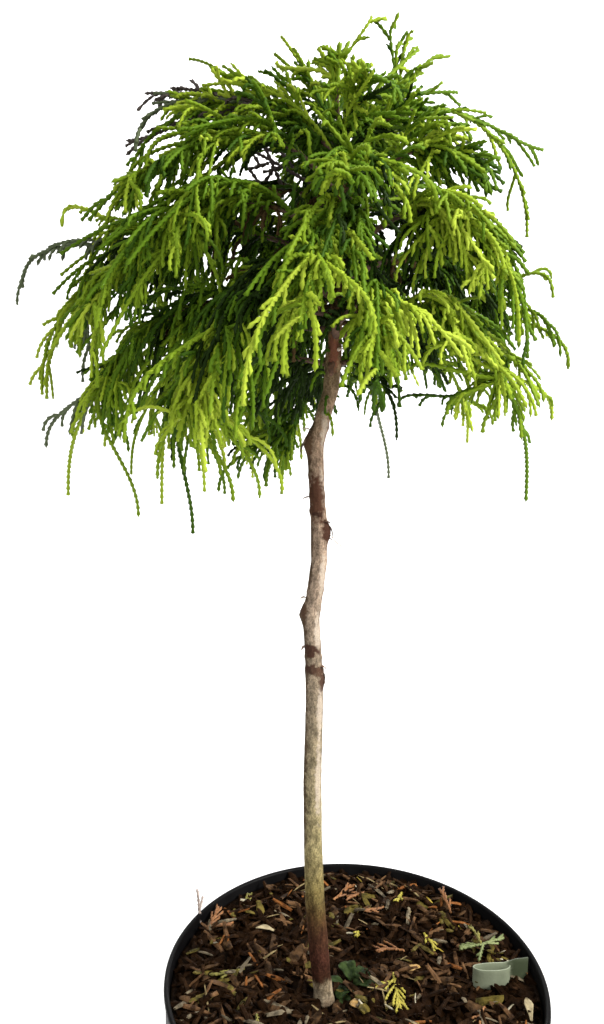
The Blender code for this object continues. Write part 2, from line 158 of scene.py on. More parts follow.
# %% [markdown]
# ## Effects that several finishes share
# Plastic, bark and mulch all have uneven colour and a fine surface. Each effect is a shader
# node group with named sockets, made once and placed in a material with its own values.

# %% Build the shared node groups
def add_node(tree, kind, sockets=None, **settings):
    """A node with its settings and with plain values on its input sockets."""
    node = tree.nodes.new(kind)
    for name, value in settings.items():
        setattr(node, name, value)
    for label, value in (sockets or {}).items():
        node.inputs[label].default_value = value
    return node


def wire(tree, *routes):
    """Links sockets. A route is a node, its output, the next node and its input."""
    for source, output, target, entry in routes:
        tree.links.new(source.outputs[output], target.inputs[entry])


def new_group(name, inputs, outputs):
    group = bpy.data.node_groups.new(name, "ShaderNodeTree")
    for label, kind, value in inputs:
        socket = group.interface.new_socket(label, in_out="INPUT", socket_type="NodeSocket" + kind)
        socket.default_value = value
    for label, kind in outputs:
        group.interface.new_socket(label, in_out="OUTPUT", socket_type="NodeSocket" + kind)
    return group, group.nodes.new("NodeGroupInput"), group.nodes.new("NodeGroupOutput")


def blotch_group():
    """Mixes two colours by soft blotches of a given size."""
    group, given, result = new_group(
        "Blotches",
        [("Colour A", "Color", (0.1, 0.1, 0.1, 1)), ("Colour B", "Color", (0.2, 0.2, 0.2, 1)),
         ("Scale", "Float", 100.0), ("Sharpness", "Float", 0.3)],
        [("Colour", "Color"), ("Mask", "Float")],
    )
    place = add_node(group, "ShaderNodeTexCoord")
    cloud = add_node(group, "ShaderNodeTexNoise", {"Detail": 5.0, "Roughness": 0.6})
    spread = add_node(group, "ShaderNodeMapRange", interpolation_type="SMOOTHSTEP")
    low = add_node(group, "ShaderNodeMath", {1: 0.45, 2: 0.05}, operation="MULTIPLY_ADD")
    high = add_node(group, "ShaderNodeMath", {0: 1.0}, operation="SUBTRACT")
    mix = add_node(group, "ShaderNodeMix", data_type="RGBA")
    wire(group, (place, "Object", cloud, "Vector"), (given, "Scale", cloud, "Scale"),
         (given, "Sharpness", low, 0), (low, 0, high, 1), (cloud, "Fac", spread, "Value"),
         (low, 0, spread, "From Min"), (high, 0, spread, "From Max"), (spread, "Result", mix, "Factor"),
         (given, "Colour A", mix, "A"), (given, "Colour B", mix, "B"),
         (mix, "Result", result, "Colour"), (spread, "Result", result, "Mask"))
    return group


def grit_group():
    """A fine uneven surface as a normal, from two sizes of noise."""
    group, given, result = new_group(
        "Fine surface",
        [("Scale", "Float", 900.0), ("Depth", "Float", 0.0002)],
        [("Normal", "Vector")],
    )
    place = add_node(group, "ShaderNodeTexCoord")
    grain = add_node(group, "ShaderNodeTexNoise", {"Detail": 6.0})
    bump = add_node(group, "ShaderNodeBump", {"Strength": 1.0})
    wire(group, (place, "Object", grain, "Vector"), (given, "Scale", grain, "Scale"),
         (grain, "Fac", bump, "Height"), (given, "Depth", bump, "Distance"),
         (bump, "Normal", result, "Normal"))
    return group


BLOTCHES = blotch_group()
FINE_SURFACE = grit_group()
print("groups:", BLOTCHES.name, "and", FINE_SURFACE.name)


# %% Start a finish from the shared groups
def new_finish(name, colour, roughness, **sockets):
    """A material with a plain base colour, and any other plain socket by its name."""
    finish = bpy.data.materials.new(name)
    finish.use_nodes = True
    shader = finish.node_tree.nodes["Principled BSDF"]
    shader.inputs["Base Color"].default_value = (*colour, 1.0)
    shader.inputs["Roughness"].default_value = roughness
    for label, value in sockets.items():
        shader.inputs[label.replace("_", " ")].default_value = value
    return finish, finish.node_tree, shader


def blotched_finish(name, dark, light, scale, sharpness, roughness, grain, depth, **sockets):
    """A finish of two blotched colours on a fine uneven surface."""
    finish, tree, shader = new_finish(name, dark, roughness, **sockets)
    blotches = add_node(tree, "ShaderNodeGroup", {
        "Colour A": (*dark, 1.0), "Colour B": (*light, 1.0), "Scale": scale, "Sharpness": sharpness,
    }, node_tree=BLOTCHES)
    surface = add_node(tree, "ShaderNodeGroup", {"Scale": grain, "Depth": depth}, node_tree=FINE_SURFACE)
    wire(tree, (blotches, "Colour", shader, "Base Color"), (surface, "Normal", shader, "Normal"))
    return finish, tree, shader, blotches


# %% [markdown]
# ## Floor and light
# The photograph has a blank white wall and a soft bright light from the right and above.
# A pale sweep runs from the floor up behind the plant, and the world gives an even fill, so
# the shade inside the foliage comes from the foliage itself and from painted shade in the inner sprays'
# darker tints.

# %% Lay the floor and hang the lights
SWEEP = ((-3.0, 0.0), (1.3, 0.0), (1.62, 0.03), (1.9, 0.16), (2.08, 0.36), (2.16, 0.62), (2.2, 3.4))
sweep_corners = [(x, y, z) for y, z in SWEEP for x in (-3.2, 3.2)]
paper_finish, *_ = blotched_finish(
    "Studio paper", (0.86, 0.86, 0.86), (0.89, 0.89, 0.89), 2.0, 0.1, 0.9, 400.0, 0.0001)
sweep = mesh_object("floor", np.array(sweep_corners), grid_faces(len(SWEEP), 2, closed=False),
                    paper_finish)


def area_light(name, place, aim, size, watts, colour=(1.0, 1.0, 1.0)):
    data = bpy.data.lights.new(name, "AREA")
    data.size = size
    data.energy = watts
    data.color = colour
    lamp = bpy.data.objects.new(name, data)
    lamp.location = place
    lamp.rotation_euler = (Vector(aim) - Vector(place)).to_track_quat("-Z", "Y").to_euler()
    bpy.context.scene.collection.objects.link(lamp)
    return lamp


world = bpy.data.worlds.new("studio")
world.use_nodes = True
world.node_tree.nodes["Background"].inputs["Color"].default_value = (1.0, 0.995, 0.98, 1.0)
world.node_tree.nodes["Background"].inputs["Strength"].default_value = 0.33
bpy.context.scene.world = world
bpy.context.scene.view_settings.view_transform = "Standard"
area_light("key", (1.15, -0.55, 1.20), (-0.02, 0.0, 0.42), 0.6, 46.0, (1.0, 0.985, 0.955))
area_light("fill", (-0.8, -1.1, 1.0), (-0.02, 0.0, 0.40), 0.9, 8.0)
area_light("wall", (0.0, 0.9, 1.9), (0.0, 2.2, 0.8), 1.8, 64.0)

# %% [markdown]
# ## Sizes that the lesson shares with the solids
# The pot, the stem and the rule of the crown are the same here as in the solids, so every
# piece grows where its solid is. The stem is a table of stations: height, x, y and diameter.

# %% Pot, mulch and stem sizes
RIM_RADIUS = 0.0950
POT_HEIGHT = 0.1480
BASE_RADIUS = 0.0695
WALL = 0.0016
FLOOR = 0.0020
BAND_FOOT = 0.1280
BAND_STEP = 0.0040
DRAIN_HOLES = 8
DRAIN_RADIUS = 0.0050
DRAIN_RING = 0.0560
GAP = 0.0003
MIX_LEVEL = 0.1385
MIX_LUMP = 0.0008
MIX_BACK_RISE = 0.0024
PAD_RADIUS = 0.0105
RAMP_RADIUS = 0.0260
STEM = (
    (0.134, -0.0153, -0.006, 0.0112), (0.138, -0.0156, -0.006, 0.0098),
    (0.145, -0.0165, -0.006, 0.0093), (0.16, -0.0182, -0.006, 0.0096),
    (0.187, -0.0208, -0.006, 0.0095), (0.218, -0.0221, -0.006, 0.0088),
    (0.248, -0.0229, -0.006, 0.0087), (0.288, -0.0225, -0.006, 0.0084),
    (0.31, -0.0234, -0.006, 0.0079), (0.328, -0.0247, -0.006, 0.008),
    (0.34, -0.0232, -0.006, 0.0077), (0.356, -0.0214, -0.006, 0.0076),
    (0.375, -0.022, -0.006, 0.0072), (0.394, -0.0233, -0.006, 0.0072),
    (0.41, -0.024, -0.006, 0.0077), (0.422, -0.0212, -0.006, 0.0074),
    (0.436, -0.0172, -0.0058, 0.0073), (0.45, -0.0163, -0.0055, 0.0074),
    (0.461, -0.0164, -0.005, 0.0071), (0.475, -0.0154, -0.0044, 0.006),
    (0.495, -0.0135, -0.0036, 0.005), (0.52, -0.0122, -0.003, 0.0041),
    (0.54, -0.0134, -0.0025, 0.0033), (0.556, -0.015, -0.002, 0.0026),
)
KNOBS = (
    (0.299, 10, 0.0013, 0.004), (0.331, 180, 0.0019, 0.0045), (0.37, 5, 0.0022, 0.005),
    (0.412, 175, 0.0022, 0.005), (0.46, -75, 0.0014, 0.007),
)
STEM_LEVELS = [s[0] for s in STEM]


def unit(v):
    return v / np.linalg.norm(v)


def bearing(angle, rise):
    flat = math.cos(rise)
    return np.array([math.cos(angle) * flat, math.sin(angle) * flat, math.sin(rise)])


def stem_at(height):
    return np.array([np.interp(height, STEM_LEVELS, [s[1] for s in STEM]),
                     np.interp(height, STEM_LEVELS, [s[2] for s in STEM]), height])


def stem_radius(height):
    return 0.5 * float(np.interp(height, STEM_LEVELS, [s[3] for s in STEM]))


def stem_skin(height, angle):
    """Radius of the stem at a height and a bearing, knobs included."""
    radius = stem_radius(height)
    for level, bear, out, half in KNOBS:
        turn = max(0.0, math.cos(angle - math.radians(bear)))
        radius += out * math.exp(-((height - level) / half) ** 2) * turn ** 3
    return radius


print("stem:", round(STEM[-1][0] - STEM[0][0], 3), "m tall")

# %% [markdown]
# ## The nursery pot
# It is one thin moulded wall: a plain tapered side, a stepped band under the rim and holes in
# the floor. A turned profile gives all of it. The solid has flat facets, so the piece is
# turned again here with many more steps and soft corners, and the drain holes are cut the
# same way. Black plastic of this kind is satin, with a faint grain and a little dust.

# %% Turn the pot
def wall_radius(height):
    top = RIM_RADIUS - 0.0010 - BAND_STEP
    return BASE_RADIUS + (top - BASE_RADIUS) * height / BAND_FOOT


STEP_RADIUS = wall_radius(BAND_FOOT)
POT_PROFILE = (
    (BASE_RADIUS - 0.0110, 0.0006), (BASE_RADIUS - 0.0100, 0.0), (BASE_RADIUS - 0.0022, 0.0),
    (BASE_RADIUS - 0.0008, 0.0006), (wall_radius(0.0022), 0.0022), (wall_radius(0.0100), 0.0100),
    (wall_radius(0.0640), 0.0640), (wall_radius(0.1240), 0.1240), (STEP_RADIUS, BAND_FOOT),
    (STEP_RADIUS + 0.0010, BAND_FOOT + 0.0004), (STEP_RADIUS + BAND_STEP - 0.0010, BAND_FOOT + 0.0008),
    (STEP_RADIUS + BAND_STEP - 0.0002, BAND_FOOT + 0.0015), (STEP_RADIUS + BAND_STEP, BAND_FOOT + 0.0026),
    (RIM_RADIUS - 0.0009, POT_HEIGHT - 0.0036), (RIM_RADIUS - 0.0002, POT_HEIGHT - 0.0028),
    (RIM_RADIUS, POT_HEIGHT - 0.0020), (RIM_RADIUS - 0.0001, POT_HEIGHT - 0.0009),
    (RIM_RADIUS - 0.0006, POT_HEIGHT - 0.0002), (RIM_RADIUS - 0.0013, POT_HEIGHT),
    (RIM_RADIUS - 0.0021, POT_HEIGHT - 0.0003), (RIM_RADIUS - 0.0027, POT_HEIGHT - 0.0012),
    (STEP_RADIUS + BAND_STEP - WALL, BAND_FOOT + 0.0036),
    (STEP_RADIUS + BAND_STEP - WALL - 0.0010, BAND_FOOT + 0.0026),
    (STEP_RADIUS - WALL, BAND_FOOT + 0.0014), (wall_radius(0.0042) - WALL, 0.0042),
    (BASE_RADIUS - 0.0036, FLOOR),
)
POT_STEPS = 144


def turned_mesh(name, profile, steps, finish, low, high):
    """A solid turned about the upright axis, closed on it at the two given heights."""
    angles = np.linspace(0, 2 * math.pi, steps, endpoint=False)
    ring = np.stack([np.cos(angles), np.sin(angles)], 1)
    rows = [np.column_stack([ring * radius, np.full(steps, height)]) for radius, height in profile]
    corners = np.concatenate(rows + [np.array([[0, 0, low], [0, 0, high]])])
    faces = [tuple(f) for f in grid_faces(len(profile), steps)]
    bottom, top = len(corners) - 2, len(corners) - 1
    last = (len(profile) - 1) * steps
    for k in range(steps):
        n = (k + 1) % steps
        faces.append((bottom, n, k))
        faces.append((top, last + k, last + n))
    return mesh_object(name, corners, faces, finish)


def drill_holes(pot):
    """Cuts the ring of drain holes through the pot's floor."""
    drills = bpy.data.collections.new("drills")
    bpy.context.scene.collection.children.link(drills)
    for k in range(DRAIN_HOLES):
        angle = 2 * math.pi * (k + 0.5) / DRAIN_HOLES
        shell = bmesh.new()
        bmesh.ops.create_cone(
            shell, cap_ends=True, segments=32, radius1=DRAIN_RADIUS, radius2=DRAIN_RADIUS,
            depth=0.012,
            matrix=Matrix.Translation((DRAIN_RING * math.cos(angle), DRAIN_RING * math.sin(angle), 0)),
        )
        mesh = bpy.data.meshes.new("drill")
        shell.to_mesh(mesh)
        shell.free()
        drills.objects.link(bpy.data.objects.new("drill", mesh))
    cut = pot.modifiers.new("Drain holes", "BOOLEAN")
    cut.operation = "DIFFERENCE"
    cut.solver = "EXACT"
    cut.operand_type = "COLLECTION"
    cut.collection = drills
    mesh = bpy.data.meshes.new_from_object(pot.evaluated_get(bpy.context.evaluated_depsgraph_get()))
    pot.modifiers.clear()
    pot.data = mesh
    for drill in list(drills.objects):
        bpy.data.objects.remove(drill)
    bpy.data.collections.remove(drills)


def plastic_finish():
    """Satin black plastic with a faint grain, and dust where the noise is high."""
    finish, tree, shader, blotches = blotched_finish(
        "Black nursery plastic", (0.0022, 0.0022, 0.0025), (0.0060, 0.0055, 0.0055), 60.0, 0.2,
        0.42, 2600.0, 0.00003, Specular_IOR_Level=0.05)
    rough = add_node(tree, "ShaderNodeMapRange", {"To Min": 0.34, "To Max": 0.50})
    wire(tree, (blotches, "Mask", rough, "Value"), (rough, "Result", shader, "Roughness"))
    return finish


pot = turned_mesh("nursery_pot", POT_PROFILE, POT_STEPS, plastic_finish(), 0.0006, FLOOR)
drill_holes(pot)
dress(pot, ["pot"])

# %% [markdown]
# ## The ground under the mulch
# The mulch is loose bark on a dark moist mix. First comes the mix itself, a lumpy disc that
# dips round the stem. It is dark and wet between the chips, so it can be simple, but it has a
# real surface, because the chips are scattered on it.

# %% Lay the mix
def mix_height(x, y):
    lumps = (
        math.sin(x * 173 + 0.6) * math.cos(y * 151 + 1.9)
        + 0.7 * math.sin(x * 311 - y * 257 + 2.2)
    )
    away = math.hypot(x - STEM[0][1], y - STEM[0][2])
    share = min(1.0, max(0.0, (away - PAD_RADIUS) / (RAMP_RADIUS - PAD_RADIUS)))
    share = share * share * (3 - 2 * share)
    pad = STEM[0][0] - GAP
    level = MIX_LEVEL + MIX_LUMP * lumps + MIX_BACK_RISE * max(0.0, y) / RIM_RADIUS
    return pad + (level - pad) * share


WALL_RISE = 0.0022
HOLLOW = (0.006, 0.022, 0.017, 0.0030)


def mulch_height(x, y):
    """The mix, heaped a little towards the wall, with a hollow behind the stem."""
    share = min(1.0, max(0.0, (math.hypot(x, y) - 0.050) / 0.035))
    rise = WALL_RISE * share * share * (3 - 2 * share)
    away = math.hypot(x - HOLLOW[0], y - HOLLOW[1]) / HOLLOW[2]
    return mix_height(x, y) + rise - HOLLOW[3] * math.exp(-away * away)


MIX_RADIUS = 0.0916
MIX_RINGS = 64
MIX_STEPS = 160


def mix_mesh(finish):
    """The lumpy top, the sides and the foot of the mix, as one closed mesh."""
    stem_spot = np.array(STEM[0][1:3])
    rows = []
    for ring in range(1, MIX_RINGS + 1):
        share = ring / MIX_RINGS
        centre = stem_spot * (1 - share) ** 1.5
        row = []
        for k in range(MIX_STEPS):
            angle = 2 * math.pi * k / MIX_STEPS
            x = centre[0] + MIX_RADIUS * share * math.cos(angle)
            y = centre[1] + MIX_RADIUS * share * math.sin(angle)
            crumbs = noise.noise(Vector((x, y, 0.3)) * 420) * 0.0008 * min(1, share * 8 - 0.9)
            row.append((x, y, mulch_height(x, y) + crumbs))
        rows.append(row)
    for radius, height in ((STEP_RADIUS + 0.0018, 0.1316), (STEP_RADIUS - WALL - 0.0006, 0.1294),
                           (wall_radius(0.005) - WALL - 0.0006, 0.005), (BASE_RADIUS - 0.0046, 0.0023)):
        turn = [2 * math.pi * k / MIX_STEPS for k in range(MIX_STEPS)]
        rows.append([(radius * math.cos(a), radius * math.sin(a), height) for a in turn])
    corners = np.concatenate([np.array(row) for row in rows]
                             + [np.array([[*stem_spot, mulch_height(*stem_spot)], [0, 0, 0.0023]])])
    faces = [tuple(f)[::-1] for f in grid_faces(len(rows), MIX_STEPS)]
    last = (len(rows) - 1) * MIX_STEPS
    for k in range(MIX_STEPS):
        n = (k + 1) % MIX_STEPS
        faces.append((len(corners) - 2, k, n))
        faces.append((len(corners) - 1, last + n, last + k))
    return mesh_object("potting_mix", corners, faces, finish)


mix_finish, *_ = blotched_finish(
    "Moist mix", (0.003, 0.0012, 0.0004), (0.010, 0.005, 0.002), 260.0, 0.4, 0.7, 900.0, 0.0006,
    Specular_IOR_Level=0.03)
potting_mix = mix_mesh(mix_finish)
dress(potting_mix, ["substrate"])

# %% [markdown]
# ## Bark chips
# Hundreds of splinters lie flat or tilted over each other. Geometry Nodes scatter them: the
# tree takes a surface, spreads points on it, puts one splinter on each point at a random turn
# and size, and ends in Realize Instances and Set Material, because instances would be lost in
# an export. One tree serves every kind of chip, each with its own density, size and seed.

# %% Build the scatter tree
def scatter_tree():
    """Geometry Nodes that scatter one object over a surface."""
    tree = bpy.data.node_groups.new("Scatter chips", "GeometryNodeTree")
    sockets = {}
    for label, kind in (("Surface", "Geometry"), ("Chip", "Object"), ("Density", "Float"),
                        ("Smallest", "Float"), ("Largest", "Float"), ("Tilt", "Float"),
                        ("Lift", "Float"), ("Seed", "Int"), ("Finish", "Material")):
        sockets[label] = tree.interface.new_socket(label, in_out="INPUT",
                                                   socket_type="NodeSocket" + kind)
    tree.interface.new_socket("Chips", in_out="OUTPUT", socket_type="NodeSocketGeometry")
    given, result = tree.nodes.new("NodeGroupInput"), tree.nodes.new("NodeGroupOutput")
    points = add_node(tree, "GeometryNodeDistributePointsOnFaces")
    lifted = add_node(tree, "GeometryNodeSetPosition")
    offset = add_node(tree, "ShaderNodeCombineXYZ")
    chip = add_node(tree, "GeometryNodeObjectInfo")
    lowest = add_node(tree, "ShaderNodeCombineXYZ")
    highest = add_node(tree, "ShaderNodeCombineXYZ", {"Z": 2 * math.pi})
    minus = add_node(tree, "ShaderNodeMath", {1: -1.0}, operation="MULTIPLY")
    lean = add_node(tree, "FunctionNodeRandomValue", data_type="FLOAT_VECTOR")
    size = add_node(tree, "FunctionNodeRandomValue", data_type="FLOAT")
    place = add_node(tree, "GeometryNodeInstanceOnPoints")
    real = add_node(tree, "GeometryNodeRealizeInstances")
    paint = add_node(tree, "GeometryNodeSetMaterial")
    wire(tree, (given, "Surface", points, "Mesh"), (given, "Density", points, "Density"),
         (given, "Seed", points, "Seed"), (points, "Points", lifted, "Geometry"),
         (given, "Lift", offset, "Z"), (offset, "Vector", lifted, "Offset"),
         (lifted, "Geometry", place, "Points"), (given, "Chip", chip, "Object"),
         (chip, "Geometry", place, "Instance"), (given, "Tilt", highest, "X"),
         (given, "Tilt", highest, "Y"), (given, "Tilt", minus, 0), (minus, 0, lowest, "X"),
         (minus, 0, lowest, "Y"), (lowest, "Vector", lean, "Min"), (highest, "Vector", lean, "Max"),
         (given, "Seed", lean, "Seed"), (lean, "Value", place, "Rotation"),
         (given, "Smallest", size, "Min"), (given, "Largest", size, "Max"),
         (given, "Seed", size, "Seed"), (size, "Value", place, "Scale"),
         (place, "Instances", real, "Geometry"), (real, "Geometry", paint, "Geometry"),
         (given, "Finish", paint, "Material"), (paint, "Geometry", result, "Chips"))
    return tree, {label: socket.identifier for label, socket in sockets.items()}


SCATTER, SCATTER_SOCKETS = scatter_tree()
print("scatter inputs:", ", ".join(SCATTER_SOCKETS))


# %% Whittle the splinters
def splinter_mesh(name, length, width, thick, seed):
    """A ragged splinter of bark along X, thinner at its ends and a little bowed."""
    dice = random.Random(seed)
    rows = []
    spans = 5
    for i in range(spans + 1):
        share = i / spans
        girth = 0.35 + 0.65 * math.sin(math.pi * min(1, max(0.0, 0.12 + 0.8 * share)))
        x = length * (share - 0.5)
        bow = 0.12 * length * (share - 0.5) ** 2
        row = []
        for k in range(6):
            angle = 2 * math.pi * k / 6
            y = width / 2 * math.cos(angle) * girth * dice.uniform(0.75, 1.15)
            z = thick / 2 * math.sin(angle) * girth * dice.uniform(0.7, 1.3) - bow
            row.append((x + dice.uniform(-0.05, 0.05) * length, y, z))
        rows += row
    faces = [tuple(f)[::-1] for f in grid_faces(spans + 1, 6)]
    faces += [tuple(range(6)), tuple(range(6 * spans, 6 * spans + 6))[::-1]]
    mesh = bpy.data.meshes.new(name)
    mesh.from_pydata(rows, [], faces)
    face_outwards(mesh)
    return mesh


SPLINTERS = (
    ("flake", splinter_mesh("flake", 0.0125, 0.0046, 0.0015, 1)),
    ("sliver", splinter_mesh("sliver", 0.0135, 0.0025, 0.0014, 2)),
    ("crumb", splinter_mesh("crumb", 0.0062, 0.0042, 0.0028, 3)),
    ("straw", splinter_mesh("straw", 0.015, 0.0012, 0.0008, 4)),
)
for label, mesh in SPLINTERS:
    print(label, "has", len(mesh.polygons), "faces")

# %% [markdown]
# The chips lie on an open disc that stops short of the pot's wall and of the stem, so no chip
# pokes through either. Colours run from wet black-brown to red-brown, grey, olive and straw:
# each kind of chip gets its own finish.

# %% Scatter the chips
SCATTER_INNER = 0.0085


def scatter_disc(outer):
    """An open disc that follows the mulch, for the points of the scatter."""
    rows = []
    stem_spot = np.array(STEM[0][1:3])
    for ring in range(17):
        share = ring / 16
        radius = SCATTER_INNER + (outer - SCATTER_INNER) * share
        centre = stem_spot * (1 - share) ** 1.2
        for k in range(72):
            angle = 2 * math.pi * k / 72
            x, y = centre[0] + radius * math.cos(angle), centre[1] + radius * math.sin(angle)
            rows.append((x, y, mulch_height(x, y)))
    return rows, [tuple(f)[::-1] for f in grid_faces(17, 72)]


# Painted shade on the mulch: places where only black chips lie, so it is darkest there: x, y and radius
SHADED_MULCH_PLACES = (
    (0.01, 0.026, 0.012), (0.02, 0.035, 0.01), (0.001, 0.015, 0.008), (0.077, -0.009, 0.011),
    (0.041, -0.023, 0.012), (0.086, 0.028, 0.01), (0.077, 0.056, 0.012), (-0.04, 0.036, 0.01),
    (-0.01, 0.062, 0.007), (-0.027, -0.006, 0.01), (-0.064, 0.013, 0.007), (0.06, -0.046, 0.014),
    (-0.02, -0.05, 0.014), (0.006, -0.076, 0.012),
)


def faces_out_of_shade(corners, faces):
    """The faces of the disc that lie outside the places of painted shade."""
    middles = np.array([[corners[c] for c in face] for face in faces]).mean(axis=1)
    out_of_shade = np.ones(len(faces), bool)
    for x, y, radius in SHADED_MULCH_PLACES:
        out_of_shade &= np.hypot(middles[:, 0] - x, middles[:, 1] - y) > radius
    return [face for face, kept in zip(faces, out_of_shade) if kept]


# kind, splinter, dark and light colour, density, smallest, largest, tilt, lift, gloss, reach
CHIP_KINDS = (
    ("black_bark", 0, (0.005, 0.0018, 0.0003), (0.016, 0.007, 0.0025),
     26000, 0.6, 1.35, 0.55, 0.0004, 0.02, 0.087),
    ("black_crumbs", 2, (0.004, 0.0015, 0.0003), (0.012, 0.0055, 0.002),
     42000, 0.5, 1.3, 1.4, 0.0004, 0.02, 0.0898),
    ("dark_slivers", 1, (0.006, 0.0025, 0.0007), (0.032, 0.015, 0.006),
     21000, 0.55, 1.35, 0.7, 0.0012, 0.03, 0.0872),
    ("brown_bark", 0, (0.013, 0.006, 0.002), (0.085, 0.045, 0.019),
     6800, 0.5, 1.3, 0.6, 0.0015, 0.06, 0.087),
    ("brown_slivers", 1, (0.022, 0.01, 0.004), (0.15, 0.078, 0.034),
     6800, 0.5, 1.35, 0.65, 0.0019, 0.06, 0.0875),
    ("grey_bark", 1, (0.036, 0.028, 0.017), (0.2, 0.16, 0.1),
     2700, 0.5, 1.3, 0.6, 0.0022, 0.1, 0.0872),
    ("olive_bark", 0, (0.024, 0.02, 0.004), (0.13, 0.098, 0.02),
     3300, 0.45, 1.15, 0.6, 0.002, 0.06, 0.087),
    ("orange_bits", 1, (0.09, 0.03, 0.007), (0.25, 0.095, 0.026),
     2300, 0.35, 1.1, 0.7, 0.0024, 0.06, 0.088),
    ("straw_bits", 3, (0.12, 0.09, 0.04), (0.32, 0.245, 0.12),
     1600, 0.45, 1.1, 0.6, 0.0026, 0.06, 0.0865),
    ("yellow_bits", 0, (0.15, 0.105, 0.012), (0.36, 0.27, 0.045),
     700, 0.25, 0.6, 0.8, 0.0026, 0.06, 0.0875),
    # pale flakes: partly real pale bark, partly painted glints of the wet mulch
    ("pale_flakes", 1, (0.22, 0.19, 0.12), (0.5, 0.45, 0.32),
     460, 0.25, 0.65, 0.8, 0.0026, 0.4, 0.087),
)


def scatter(seed, kind, splinter, dark, light, density, smallest, largest, tilt, lift, gloss, reach):
    """Scatters one kind of chip and returns it as a plain mesh object."""
    corners, faces = scatter_disc(reach)
    # only black and dark chips lie in the places of painted shade
    if not kind.startswith(("black", "dark")):
        faces = faces_out_of_shade(corners, faces)
    finish, *_ = blotched_finish("Chip " + kind, dark, light, 240.0, 0.6, 0.55, 1500.0, 0.0004,
                                 Specular_IOR_Level=gloss)
    chips = mesh_object(kind, corners, faces, finish)
    model = bpy.data.objects.new("chip model", SPLINTERS[splinter][1])
    bpy.context.scene.collection.objects.link(model)
    grow = chips.modifiers.new("Scatter", "NODES")
    values = {"Chip": model, "Density": float(density), "Smallest": smallest, "Largest": largest,
              "Tilt": tilt, "Lift": lift, "Seed": seed, "Finish": finish}
    grow.node_group = SCATTER
    for label, value in values.items():
        grow[SCATTER_SOCKETS[label]] = value
    evaluated = chips.evaluated_get(bpy.context.evaluated_depsgraph_get())
    mesh = bpy.data.meshes.new_from_object(evaluated)
    chips.modifiers.clear()
    chips.data = mesh
    bpy.data.objects.remove(model)
    mesh.polygons.foreach_set("use_smooth", np.zeros(len(mesh.polygons), bool))
    return chips


for seed, chip_kind in enumerate(CHIP_KINDS):
    dress(scatter(seed + 11, *chip_kind), [])

# %% [markdown]
# ## The loop label
# A blank strip of sage plastic is bent back on itself into a flat open loop, and its tail
# stands off to the back. It is a sheet with thickness, so a path in plan is swept upwards, and
# a bevel rounds its edges. The strip is as high as its solid and stands on the mix.

# %% Bend the label
# the strip in plan: x and y in millimetres, from its front end round to the tail
LABEL_PLAN = ((78.6, -0.6), (77.6, -2.8), (74.0, -4.2), (67.7, -5.0), (62.5, -4.6), (59.6, -2.9),
              (59.9, -1.2), (63.0, 0.0), (69.0, 1.0), (76.0, 1.4), (83.0, 1.8), (88.6, 3.0))
CORNER_CUTS = 4
LABEL_HALF_THICKNESS = 0.00028
LABEL_EDGE = 0.00012
# the tail rises by this much, from one x and over a run
TAIL_RISE = 0.0018
TAIL_FROM = 0.076
TAIL_RUN = 0.006


def label_path():
    """The plan with its corners cut again and again, until it is a smooth line."""
    points = [np.array([x, y]) * 0.001 for x, y in LABEL_PLAN]
    for _ in range(CORNER_CUTS):
        cut = [points[0]]
        for a, b in zip(points, points[1:]):
            cut += [a * 0.75 + b * 0.25, a * 0.25 + b * 0.75]
        points = cut + [points[-1]]
    return points


def label_finish():
    """Sage plastic, with painted shade that darkens the tail where it stands back in shadow."""
    finish, tree, shader, blotches = blotched_finish(
        "Sage plastic", (0.160, 0.182, 0.120), (0.245, 0.272, 0.188), 160.0, 0.2, 0.36, 900.0, 0.00008,
        Specular_IOR_Level=0.3)
    place = add_node(tree, "ShaderNodeTexCoord")
    split = add_node(tree, "ShaderNodeSeparateXYZ")
    tail_shade_wobble = add_node(tree, "ShaderNodeTexNoise", {"Scale": 300.0})
    bend = add_node(tree, "ShaderNodeMath", {1: 0.005}, operation="MULTIPLY_ADD")
    tail_shade_mask = add_node(tree, "ShaderNodeMapRange", {"From Min": 0.0795, "From Max": 0.0835, "To Max": 0.92},
                      interpolation_type="SMOOTHSTEP")
    # painted shade: from a given x outwards the tail is mixed to dark olive
    mix = add_node(tree, "ShaderNodeMix", {"B": (0.040, 0.052, 0.026, 1.0)}, data_type="RGBA")
    wire(tree, (place, "Object", split, "Vector"), (place, "Object", tail_shade_wobble, "Vector"),
         (tail_shade_wobble, "Fac", bend, 0), (split, "X", bend, 2), (bend, 0, tail_shade_mask, "Value"),
         (tail_shade_mask, "Result", mix, "Factor"), (blotches, "Colour", mix, "A"),
         (mix, "Result", shader, "Base Color"))
    return finish


def label_piece():
    low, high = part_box("loop_label")
    path = label_path()
    rows = []
    for i, point in enumerate(path):
        direction = unit(path[min(i + 1, len(path) - 1)] - path[max(i - 1, 0)])
        side = np.array([-direction[1], direction[0]]) * LABEL_HALF_THICKNESS
        along_tail = min(1.0, max(0.0, (point[0] - TAIL_FROM) / TAIL_RUN)) * (i > len(path) / 2)
        top = high.z + TAIL_RISE * along_tail
        for levels, spot in ((np.linspace(0, 1, 6), point + side), (np.linspace(1, 0, 6), point - side)):
            rows += [(*spot, low.z + (top - low.z) * level) for level in levels]
    faces = [tuple(f) for f in grid_faces(len(path), 12)]
    faces += [tuple(range(12))[::-1], tuple(range(12 * len(path) - 12, 12 * len(path)))]
    label = mesh_object("blank_label", rows, faces, label_finish())
    face_outwards(label.data)
    soften = label.modifiers.new("Soft edges", "BEVEL")
    soften.width = LABEL_EDGE
    soften.segments = 2
    return label


label = label_piece()
dress(label, ["loop_label"])

